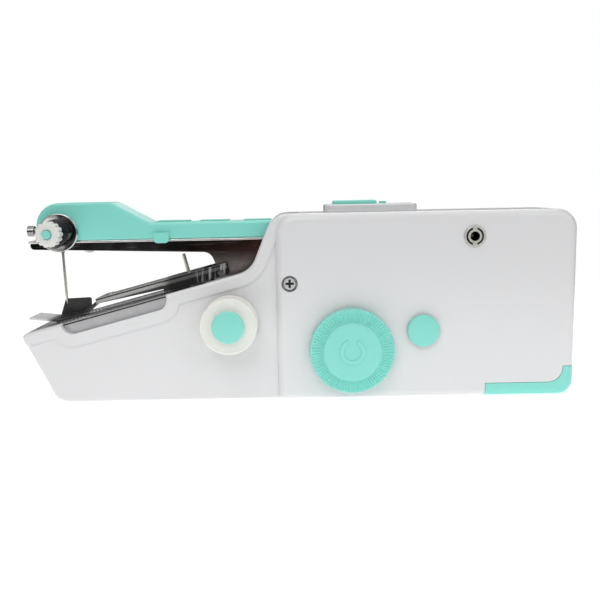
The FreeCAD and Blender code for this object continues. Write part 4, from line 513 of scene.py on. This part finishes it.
class SEWING_OT_finishes(bpy.types.Operator):
    """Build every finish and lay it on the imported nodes"""

    bl_idname = "sewing.finishes"
    bl_label = "Finishes"

    def execute(self, context):
        colours = settings()[1]
        plastic = moulded_group()
        metal = metal_group()

        def moulded(name, colour, gloss, grain=1.0, depth=0.001 * MM, share=0.985, **shader):
            values = {"Colour": colour, "Shade": shaded(colour, share), "Gloss": gloss, "Grain": grain}
            return finish_material(name, plastic, values, depth, **shader)

        def worked(name, colour, gloss, lines=1.0, depth=0.004 * MM, share=0.86, **shader):
            values = {"Colour": colour, "Stain": shaded(colour, share), "Gloss": gloss, "Lines": lines}
            return finish_material(name, metal, values, depth, **{"Metallic": 1.0, **shader})

        # painted reflections on the presser bar: bright top, black band, grey side and dark lower part, darker
        # towards the rear, with lighter upright streaks
        bar_painted_reflections = painted_reflection_group(
            "Bar Painted Reflections",
            [(-5.2, 1.0), (-5.0, 1.0), (-4.85, 0.05), (-4.5, 0.08), (-4.2, 0.9), (-3.3, 0.75), (-2.9, 0.10)],
            (-54.0, -50.0, 0.22), (-41.0, -37.0))
        # painted dark reflection on the foot's rear wing, and painted shade in a band low by the deck
        foot_painted_reflections = painted_reflection_group("Foot Painted Reflections", [(-9.0, 1.0), (-1.4, 1.0), (-0.8, 0.6)], (-99.5, -97.0, 0.06))
        # painted dark reflection line along the needle plate's front edge, just below the deck
        plate_painted_reflection = painted_reflection_group(
            "Plate Painted Reflection", [(0.4, 1.0), (0.62, 1.0), (0.70, 0.04), (1.15, 0.05), (1.3, 0.9), (4.5, 1.0)])
        # painted shade in the socket's groove and hole, dark brown
        socket_painted_shade = painted_recess_shade_group(
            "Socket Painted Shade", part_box("dc_socket")[0].y, 0.5 * MM, (0.055, 0.035, 0.025, 1.0))
        # painted shade in the screw's cross recess
        screw_painted_shade = painted_recess_shade_group(
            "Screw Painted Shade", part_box("front_screw")[0].y, 0.75 * MM, (0.03, 0.03, 0.03, 1.0))
        MATERIALS.update({
            "white_plastic": moulded(
                "White Casing", colours.casing[:], 0.26, 0.3, share=0.99, Coat_Weight=0.3, Coat_Roughness=0.1),
            "mint_plastic": moulded(
                "Mint Plastic", colours.mint[:], 0.34, 0.5, share=0.98, Coat_Weight=0.15, Coat_Roughness=0.2),
            "knob_plastic": moulded("Knob White", colours.knob[:], 0.42),
            "bobbin_plastic": moulded(
                "Milky Bobbin", colours.bobbin[:], 0.36, Subsurface_Weight=0.35,
                Subsurface_Radius=(0.004, 0.004, 0.003), Subsurface_Scale=1.0),
            "arm_chrome": worked("Bright Plating", colours.chrome[:], 0.09),
            "plate_steel": worked("Satin Sheet Steel", colours.plate[:], 0.50, 1.2, share=0.95),
            "needle_steel": worked("Needle Steel", (0.70, 0.67, 0.60, 1.0), 0.18, Metallic=0.7),
            "spring_steel": worked("Dark Spring Wire", (0.05, 0.05, 0.055, 1.0), 0.30),
            "screw_steel": worked("Screw Plating", (0.80, 0.80, 0.80, 1.0), 0.30),
            "needle_screw": worked("Dark Screw Plating", (0.30, 0.30, 0.31, 1.0), 0.16),
            "front_screw": worked(
                "Screw Recess", (0.72, 0.72, 0.72, 1.0), 0.30, Metallic=0.6, bands=screw_painted_shade),
            "arm_channel": worked("Wall Plating", colours.chrome[:], 0.20, bands=wall_painted_reflection_group()),
            "presser_foot": worked(
                "Foot Sheet", (0.95, 0.95, 0.95, 1.0), 0.24, share=0.85, Metallic=0.2, bands=foot_painted_reflections),
            "presser_bar": worked(
                "Presser Sheet", colours.chrome[:], 0.26, share=0.8, Metallic=0.6, bands=bar_painted_reflections),
            "needle_plate": worked(
                "Plate Sheet", (0.60, 0.60, 0.61, 1.0), 0.42, 1.2, share=0.9, Metallic=0.55, bands=plate_painted_reflection),
            "dc_socket": worked(
                "Socket Nickel", (0.70, 0.69, 0.65, 1.0), 0.25, share=0.95, Metallic=0.4, bands=socket_painted_shade),
            "gear_plastic": moulded("Gear Acetal", (0.74, 0.72, 0.66, 1.0), 0.45),
            "brass_parts": worked("Turned Brass", (0.72, 0.52, 0.22, 1.0), 0.22),
            "motor_steel": worked("Zinc Can", (0.50, 0.51, 0.53, 1.0), 0.36),
            "black_plastic": moulded("Moulded Black", (0.03, 0.03, 0.033, 1.0), 0.45, share=0.8),
            "board_laminate": moulded("Paper Laminate", (0.45, 0.30, 0.12, 1.0), 0.55, share=0.85),
            "cell_wrap": moulded("Cell Wrap", (0.06, 0.07, 0.09, 1.0), 0.30, share=0.85),
            "contact_metal": worked("Nickel Strip", (0.62, 0.61, 0.58, 1.0), 0.26),
        })
        for node, piece in NODES.items():
            piece.data.materials.clear()
            piece.data.materials.append(finish_of(node))
        return {"FINISHED"}


def refined(profile, step):
    """The same line with extra points so that no two neighbours lie more than a step apart."""
    lengths = np.concatenate([[0], np.cumsum(np.linalg.norm(np.diff(profile, axis=0), axis=1))])
    places = np.union1d(lengths, np.arange(0, lengths[-1], step))
    return np.stack([np.interp(places, lengths, profile[:, axis]) for axis in (0, 1)], axis=-1)


def outward(profile):
    """Unit normals of a (radius, y) line that runs from the back, over the rim, to the front."""
    way = np.gradient(profile, axis=0)
    normal = np.stack([-way[:, 1], way[:, 0]], axis=-1)
    return normal / np.maximum(np.linalg.norm(normal, axis=1, keepdims=True), 1e-12)


def swept_surface(profile, lift, centre, segments):
    """Profile carried round Y, each point first pushed out along its normal by lift(radius, y, angle)."""
    angle = np.linspace(0, TAU, segments, endpoint=False)[None, :]
    radius = profile[:, 0][:, None]
    y = profile[:, 1][:, None]
    normal = outward(profile)
    push = lift(radius, y, angle)
    pushed_radius = np.maximum(radius + normal[:, 0][:, None] * push, 0)
    pushed_y = y + normal[:, 1][:, None] * push
    x = centre.x + pushed_radius * np.cos(angle)
    z = centre.z + pushed_radius * np.sin(angle)
    return np.stack([x, pushed_y + 0 * angle, z], axis=-1)


def wheel_surface(sizes):
    """Hand wheel: a turned profile with radial ridges on its ring and a raised open ring on its hub.

    At angle a the ring sinks by height * (1 - cos(n a)) / 2, faded out towards the hub and the back and
    shallow round the rim. On the hub the face rises between two radii, except in a gap at the top.
    """
    low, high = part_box("hand_wheel")
    mark_rise = 0.35 * MM
    mark_inner = 3.1 * MM
    mark_outer = 5.0 * MM
    mark_gap = 1.65 * MM
    mark_wall = 0.15 * MM
    radius = (high.x - low.x) / 2
    back = high.y
    hub_face = low.y + mark_rise
    ring_face = hub_face + 1.4 * MM
    hub = radius - 5 * MM
    corners = [
        (0, back), (radius, back, 0.4 * MM), (radius, ring_face, 0.7 * MM),
        (hub, ring_face, 0.25 * MM), (hub, hub_face, 0.9 * MM), (0, hub_face),
    ]
    rim = refined(rounded_profile(corners, 7)[1:-1], 0.32 * MM)
    reach = np.concatenate([np.linspace(9.6, 5.4, 5), np.arange(5.25, 2.8, -0.08), [2.0, 1.0, 0.0]]) * MM
    face = np.stack([reach, np.full_like(reach, hub_face)], axis=-1)
    profile = np.concatenate([[[0, back]], rim, face])

    def lift(place, y, angle):
        ring = smooth_step(hub + 0.4 * MM, hub + 0.9 * MM, place) * smooth_step(back, back - 0.9 * MM, y)
        bead = 1 - 0.7 * smooth_step(radius - 1.0 * MM, radius - 0.4 * MM, place)
        groove = 0.5 - 0.5 * np.cos(sizes.ridges * angle)
        across = np.abs(place * np.cos(angle))
        gap = np.where(np.sin(angle) > 0, smooth_step(mark_gap, mark_gap + mark_wall, across), 1.0)
        band = smooth_step(mark_inner, mark_inner + mark_wall, place)
        band = band - smooth_step(mark_outer - mark_wall, mark_outer, place)
        mark = (y < ring_face) * band * gap * mark_rise
        return mark - sizes.ridge_height * ring * bead * groove

    return swept_surface(profile, lift, centre_of("hand_wheel"), sizes.ridges * 10)


class SEWING_OT_hand_wheel(bpy.types.Operator):
    """Hand wheel with its ridged ring"""

    bl_idname = "sewing.hand_wheel"
    bl_label = "Hand Wheel"

    def execute(self, context):
        sizes = settings()[0]
        mesh = mesh_from_grid("Hand_Wheel", wheel_surface(sizes), closed_columns=True)
        close_and_smooth(mesh, 50)
        add_piece("Hand_Wheel", mesh, "hand_wheel", MATERIALS["mint_plastic"])
        return {"FINISHED"}


def domed_cap(node, crown, edge):
    """A turned cap: flat back, eased rim, and a face that falls by the crown from its middle to its rim.

    The face is front + crown * (r / R)^2.
    """
    low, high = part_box(node)
    radius = (high.x - low.x) / 2
    reach = np.linspace(1, 0, 24)[1:-1] * (radius - edge)
    face = np.stack([reach, low.y + crown * (reach / radius) ** 2], axis=-1)
    start = [(0, high.y), (radius, high.y, 0.15 * MM), (radius, low.y + crown, edge), tuple(face[0])]
    return np.concatenate([rounded_profile(start, 8), face[1:], [[0, low.y]]])


class SEWING_OT_caps(bpy.types.Operator):
    """Winder cap and bobbin cap"""

    bl_idname = "sewing.caps"
    bl_label = "Caps"

    def execute(self, context):
        edge = 0.8 * MM
        rows = [("winder_cap", "Winder_Cap", 0.3 * MM), ("bobbin_cap", "Bobbin_Cap", 0.25 * MM)]
        for node, name, crown in rows:
            points = turned(domed_cap(node, crown, edge), centre_of(node), 128)
            mesh = close_and_smooth(mesh_from_grid(name, points, closed_columns=True), 60)
            add_piece(name, mesh, node, MATERIALS["mint_plastic"])
        return {"FINISHED"}


class SEWING_OT_bobbin(bpy.types.Operator):
    """Bobbin with eased flanges and a waisted core, open along its middle"""

    bl_idname = "sewing.bobbin"
    bl_label = "Bobbin"

    def execute(self, context):
        low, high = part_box("bobbin")
        radius = (high.x - low.x) / 2
        flange = 1.2 * MM
        core = 4.0 * MM
        bore = 1.65 * MM
        dish = 0.18 * MM
        rim = 0.45 * MM
        fillet = 0.8 * MM
        ease = 0.2 * MM
        front = low.y
        back = high.y
        corners = [
            (bore, (front + back) / 2), (bore, back, ease), (radius, back, rim), (radius, back - flange, rim),
            (core, back - flange, fillet), (core, front + flange, fillet),
            (radius, front + flange, rim), (radius, front, rim),
            (radius - 0.9 * MM, front, ease), (radius - 1.2 * MM, front + dish, ease),
            (bore + 4.6 * MM, front + dish, ease), (bore + 4.3 * MM, front, ease),
            (bore, front, ease), (bore, (front + back) / 2),
        ]
        points = turned(rounded_profile(corners, 6), centre_of("bobbin"), 160)
        mesh = close_and_smooth(mesh_from_grid("Bobbin", points, closed_columns=True), 50)
        add_piece("Bobbin", mesh, "bobbin", MATERIALS["bobbin_plastic"])
        return {"FINISHED"}


def disc_profile(middle, flare, radius, bore, sheet):
    """Half section of a dished disc: flat to 0.62 of its radius, then bent by flare * s^2."""
    reach = np.linspace(bore, radius, 40)
    share = np.clip((reach - 0.62 * radius) / (0.38 * radius), 0, 1)
    bend = middle + flare * share ** 2
    front = np.stack([reach, bend - sheet / 2], axis=-1)
    back = np.stack([reach, bend + sheet / 2], axis=-1)
    turn = np.linspace(0, math.pi, 7)[1:-1]
    lip = np.stack([
        radius + sheet / 2 * np.sin(turn), middle + flare + sheet / 2 * np.cos(turn)], axis=-1)
    return np.concatenate([back, lip, front[::-1], back[:1]])


def knob_surface(sizes):
    """Tension knob: a turned body with a bore, whose side swells and sinks by depth * (1 - |cos(n a / 2)|)."""
    low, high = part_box("tension_knob")
    radius = (high.x - low.x) / 2
    bore = 1.56 * MM
    dip = 0.6 * MM
    corners = [
        (bore, (low.y + high.y) / 2), (bore, high.y, 0.15 * MM), (radius, high.y, 0.5 * MM),
        (radius, low.y + 0.25 * MM, 0.7 * MM), (radius - 1.2 * MM, low.y, 0.3 * MM),
        (bore + 0.5 * MM, low.y, 0.25 * MM), (bore, low.y + 0.5 * MM, 0.2 * MM), (bore, (low.y + high.y) / 2),
    ]
    profile = refined(rounded_profile(corners, 7), 0.3 * MM)

    def lift(place, y, angle):
        rim = smooth_step(radius - 1.1 * MM, radius - 0.2 * MM, place)
        return -dip * rim * (1 - np.abs(np.cos(sizes.lobes * angle / 2)))

    return swept_surface(profile, lift, centre_of("tension_knob"), sizes.lobes * 16)


def spring_surface(sizes):
    """Tension spring: a circle of the wire's radius carried square to a helix that narrows towards the knob.

    The helix at share s is r(s) (cos a, sin a) about Y with a = 2 pi n s, and y running from the discs
    to the knob; its side vectors are the radial direction and the cross product with the heading.
    """
    low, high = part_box("tension_spring")
    centre = centre_of("tension_discs")
    wire = sizes.spring_wire / 2
    wide = 4.6 * MM
    narrow = 3.4 * MM
    share = np.linspace(0, 1, int(48 * sizes.spring_turns))
    angle = TAU * sizes.spring_turns * share
    radius = wide + (narrow - wide) * share
    start = high.y - wire
    end = low.y + wire
    x = centre.x + radius * np.cos(angle)
    z = centre.z + radius * np.sin(angle)
    path = np.stack([x, start + (end - start) * share, z], axis=-1)
    heading = np.gradient(path, axis=0)
    heading /= np.linalg.norm(heading, axis=1, keepdims=True)
    side = np.stack([np.cos(angle), 0 * angle, np.sin(angle)], axis=-1)
    side -= heading * np.sum(side * heading, axis=1, keepdims=True)
    side /= np.linalg.norm(side, axis=1, keepdims=True)
    across = np.cross(heading, side)
    sides = 14
    turn = np.linspace(0, TAU, sides, endpoint=False)[None, :, None]
    ring = np.cos(turn) * side[:, None, :] + np.sin(turn) * across[:, None, :]
    body = path[:, None, :] + wire * ring
    first = np.repeat(path[:1, None, :], sides, axis=1)
    last = np.repeat(path[-1:, None, :], sides, axis=1)
    return np.concatenate([first, body, last])


class SEWING_OT_tension(bpy.types.Operator):
    """Tension discs, spring and knob"""

    bl_idname = "sewing.tension"
    bl_label = "Thread Tension"

    def execute(self, context):
        sizes = settings()[0]
        low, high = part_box("tension_discs")
        centre = centre_of("tension_discs")
        radius = (high.x - low.x) / 2
        sheet = 0.45 * MM
        bore = 1.6 * MM
        front = disc_profile(low.y + 0.62 * MM, -0.35 * MM, radius - sheet / 2, bore, sheet)
        rear = disc_profile(high.y - 0.36 * MM, 0.1 * MM, radius - sheet / 2, bore, sheet)
        segments = 160
        points = np.concatenate([turned(front, centre, segments), turned(rear, centre, segments)])
        quads = np.concatenate([
            grid_quads(len(front), segments, closed_columns=True),
            grid_quads(len(rear), segments, closed_columns=True) + len(front) * segments])
        mesh = bpy.data.meshes.new("Tension_Discs")
        mesh.from_pydata(points.reshape(-1, 3).tolist(), [], quads.tolist())
        add_piece("Tension_Discs", close_and_smooth(mesh, 50), "tension_discs", MATERIALS["arm_chrome"])
        spring = mesh_from_grid("Tension_Spring", spring_surface(sizes), closed_columns=True)
        add_piece("Tension_Spring", close_and_smooth(spring, 60), "tension_spring", MATERIALS["spring_steel"])
        knob = mesh_from_grid("Tension_Knob", knob_surface(sizes), closed_columns=True)
        add_piece("Tension_Knob", close_and_smooth(knob, 40), "tension_knob", MATERIALS["knob_plastic"])
        return {"FINISHED"}


def dress(rows):
    """Joined, edge-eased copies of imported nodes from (node, piece name, share of the usual edge) rows."""
    edge = settings()[0].edge
    for node, name, share in rows:
        merged_copy(node, name, finish_of(node), edge * share)


class SEWING_OT_casing(bpy.types.Operator):
    """Casing halves, battery cover, switch platform and buttons"""

    bl_idname = "sewing.casing"
    bl_label = "Casing"

    def execute(self, context):
        dress([
            ("front_shell", "Front_Casing", 1.0), ("rear_shell", "Rear_Casing", 1.0),
            ("battery_lid", "Battery_Cover", 1.0), ("switch_platform", "Switch_Platform", 1.0),
            ("power_button", "Power_Button", 1.0), ("lock_slider", "Lock_Slider", 1.0),
        ])
        return {"FINISHED"}


class SEWING_OT_arm(bpy.types.Operator):
    """Arm cover, folded channel, needle, its clamp and the rivet"""

    bl_idname = "sewing.arm"
    bl_label = "Arm"

    def execute(self, context):
        dress([
            ("arm_cover", "Arm_Cover", 1.6), ("arm_channel", "Arm_Channel", 0.8),
            ("arm_rivet", "Arm_Rivet", 0.8), ("needle", "Needle", 0.0),
            ("needle_clamp", "Needle_Clamp", 0.8), ("needle_screw", "Needle_Screw", 0.5),
        ])
        return {"FINISHED"}


class SEWING_OT_deck(bpy.types.Operator):
    """Needle plate, feed teeth, presser bar and foot, push rod"""

    bl_idname = "sewing.deck"
    bl_label = "Sewing Deck"

    def execute(self, context):
        dress([
            ("needle_plate", "Needle_Plate", 0.6), ("feed_dog", "Feed_Teeth", 0.2),
            ("presser_bar", "Presser_Bar", 0.7), ("presser_foot", "Presser_Foot", 0.5),
            ("presser_rivet", "Presser_Rivet", 0.5), ("push_rod", "Push_Rod", 0.0),
            ("looper_hook", "Looper_Hook", 0.3),
        ])
        return {"FINISHED"}


class SEWING_OT_fittings(bpy.types.Operator):
    """Casing screws and power socket"""

    bl_idname = "sewing.fittings"
    bl_label = "Screws and Socket"

    def execute(self, context):
        dress([
            ("front_screw", "Front_Screw", 0.5), ("rear_screws", "Rear_Screws", 0.5),
            ("dc_socket", "Power_Socket", 0.5),
        ])
        return {"FINISHED"}


def soft_light(name, place, target, size, power):
    """A square white area light aimed from a place to a target."""
    lamp = bpy.data.lights.new(name, "AREA")
    lamp.shape = "SQUARE"
    lamp.size = size
    lamp.energy = power
    holder = bpy.data.objects.new(name, lamp)
    holder.location = place
    holder.rotation_euler = (Vector(target) - Vector(place)).to_track_quat("-Z", "Y").to_euler()
    bpy.context.scene.collection.objects.link(holder)


def floor_material():
    """Pale studio floor: white with a slow drift, fading out towards its round edge."""
    material = bpy.data.materials.new("Studio Floor")
    material.use_nodes = True
    tree = material.node_tree
    principled = tree.nodes["Principled BSDF"]
    place = object_place(tree)
    drift = noise(tree, place, 6.0, 2.0)
    tone = ramp(tree, drift.outputs["Fac"], 0.3, 0.7, 0.93, 0.96)
    tree.links.new(tone.outputs["Result"], principled.inputs["Base Color"])
    reach = add_node(tree, "ShaderNodeVectorMath", [(0, place)], operation="LENGTH")
    fade = ramp(tree, reach.outputs["Value"], 0.24, 0.44, 1.0, 0.0)
    tree.links.new(fade.outputs["Result"], principled.inputs["Alpha"])
    principled.inputs["Roughness"].default_value = 0.6
    principled.inputs["Emission Color"].default_value = (1.0, 1.0, 1.0, 1.0)
    principled.inputs["Emission Strength"].default_value = 0.45
    return material


def studio_world():
    """White to the camera; for light and reflections bright overhead and dim round the horizon and below."""
    world = bpy.data.worlds.new("Studio")
    world.use_nodes = True
    tree = world.node_tree
    tree.nodes.clear()
    place = tree.nodes.new("ShaderNodeTexCoord").outputs["Generated"]
    split = add_node(tree, "ShaderNodeSeparateXYZ", [("Vector", place)])
    glow = ramp(tree, split.outputs["Z"], 0.02, 0.55, 0.10, 1.0)
    light = add_node(tree, "ShaderNodeBackground", [("Color", glow.outputs["Result"]), ("Strength", 0.40)])
    seen = add_node(tree, "ShaderNodeBackground", [("Color", (1.0, 1.0, 1.0, 1.0)), ("Strength", 1.0)])
    path = tree.nodes.new("ShaderNodeLightPath")
    mix = add_node(tree, "ShaderNodeMixShader", [
        (0, path.outputs["Is Camera Ray"]), (1, light.outputs["Background"]), (2, seen.outputs["Background"])])
    out = tree.nodes.new("ShaderNodeOutputWorld")
    tree.links.new(mix.outputs["Shader"], out.inputs["Surface"])
    bpy.context.scene.world = world


def studio_camera(values):
    """Camera that looks at the target from the front, tipped down by the pitch and leaning by the roll."""
    target = Vector(values.target)
    back = Vector((0, -math.cos(values.pitch), math.sin(values.pitch)))
    right = Vector((1, 0, 0))
    up = back.cross(right)
    lean_right = right * math.cos(values.roll) - up * math.sin(values.roll)
    lean_up = up * math.cos(values.roll) + right * math.sin(values.roll)
    camera = bpy.data.cameras.new("Camera")
    camera.sensor_width = 36.0
    camera.lens = camera.sensor_width * values.focal / values.picture
    camera.clip_start = 0.01
    holder = bpy.data.objects.new("Camera", camera)
    turn = Matrix((lean_right, lean_up, back)).transposed().to_4x4()
    holder.matrix_world = Matrix.Translation(target + back * values.distance) @ turn
    bpy.context.scene.collection.objects.link(holder)
    bpy.context.scene.camera = holder


class SEWING_OT_stage(bpy.types.Operator):
    """Round pale floor, soft lights and the camera"""

    bl_idname = "sewing.stage"
    bl_label = "Stage"

    def execute(self, context):
        reach = np.concatenate([[0.0], np.linspace(0.02, 0.46, 23)])[:, None]
        angle = np.linspace(0, TAU, 96, endpoint=False)[None, :]
        drop = 0 * reach * angle - 0.05 * MM
        points = np.stack([reach * np.cos(angle), reach * np.sin(angle), drop], axis=-1)
        mesh = close_and_smooth(mesh_from_grid("Floor", points, closed_columns=True), 60)
        mesh.materials.append(floor_material())
        floor = bpy.data.objects.new("Floor", mesh)
        bpy.context.scene.collection.objects.link(floor)
        middle = (0.0, 0.0, 0.035)
        soft_light("Key", (-0.25, -0.75, 0.75), middle, 0.6, 2.8)
        soft_light("Fill", (0.55, -0.60, 0.50), middle, 0.6, 1.4)
        soft_light("Top", (0.0, 0.05, 0.90), middle, 0.8, 2.3)
        soft_light("Back", (0.10, 0.80, 0.55), middle, 0.6, 1.8)
        studio_world()
        studio_camera(context.scene.sewing_camera)
        context.scene.view_settings.view_transform = "Standard"
        return {"FINISHED"}


class SEWING_PT_panel(bpy.types.Panel):
    """Sidebar panel with the machine's colours, sizes and steps"""

    bl_idname = "SEWING_PT_panel"
    bl_label = "Sewing Machine"
    bl_space_type = "VIEW_3D"
    bl_region_type = "UI"
    bl_category = "Sewing"

    def draw(self, context):
        for group in (context.scene.sewing_colours, context.scene.sewing_sizes, context.scene.sewing_camera):
            for key in group.__annotations__:
                self.layout.prop(group, key)
        for step in STEPS:
            self.layout.operator(step.bl_idname)


STEPS = (
    SEWING_OT_finishes, SEWING_OT_casing, SEWING_OT_hand_wheel, SEWING_OT_caps, SEWING_OT_bobbin,
    SEWING_OT_arm, SEWING_OT_tension, SEWING_OT_deck, SEWING_OT_fittings, SEWING_OT_stage,
)
CLASSES = (SewingColours, SewingSizes, SewingCamera) + STEPS + (SEWING_PT_panel,)


def register():
    for entry in CLASSES:
        bpy.utils.register_class(entry)
    bpy.types.Scene.sewing_colours = PointerProperty(type=SewingColours)
    bpy.types.Scene.sewing_sizes = PointerProperty(type=SewingSizes)
    bpy.types.Scene.sewing_camera = PointerProperty(type=SewingCamera)


def unregister():
    del bpy.types.Scene.sewing_camera
    del bpy.types.Scene.sewing_sizes
    del bpy.types.Scene.sewing_colours
    for entry in reversed(CLASSES):
        bpy.utils.unregister_class(entry)


def main():
    register()
    for step in STEPS:
        group, name = step.bl_idname.split(".")
        getattr(getattr(bpy.ops, group), name)()


if __name__ == "__main__":
    main()
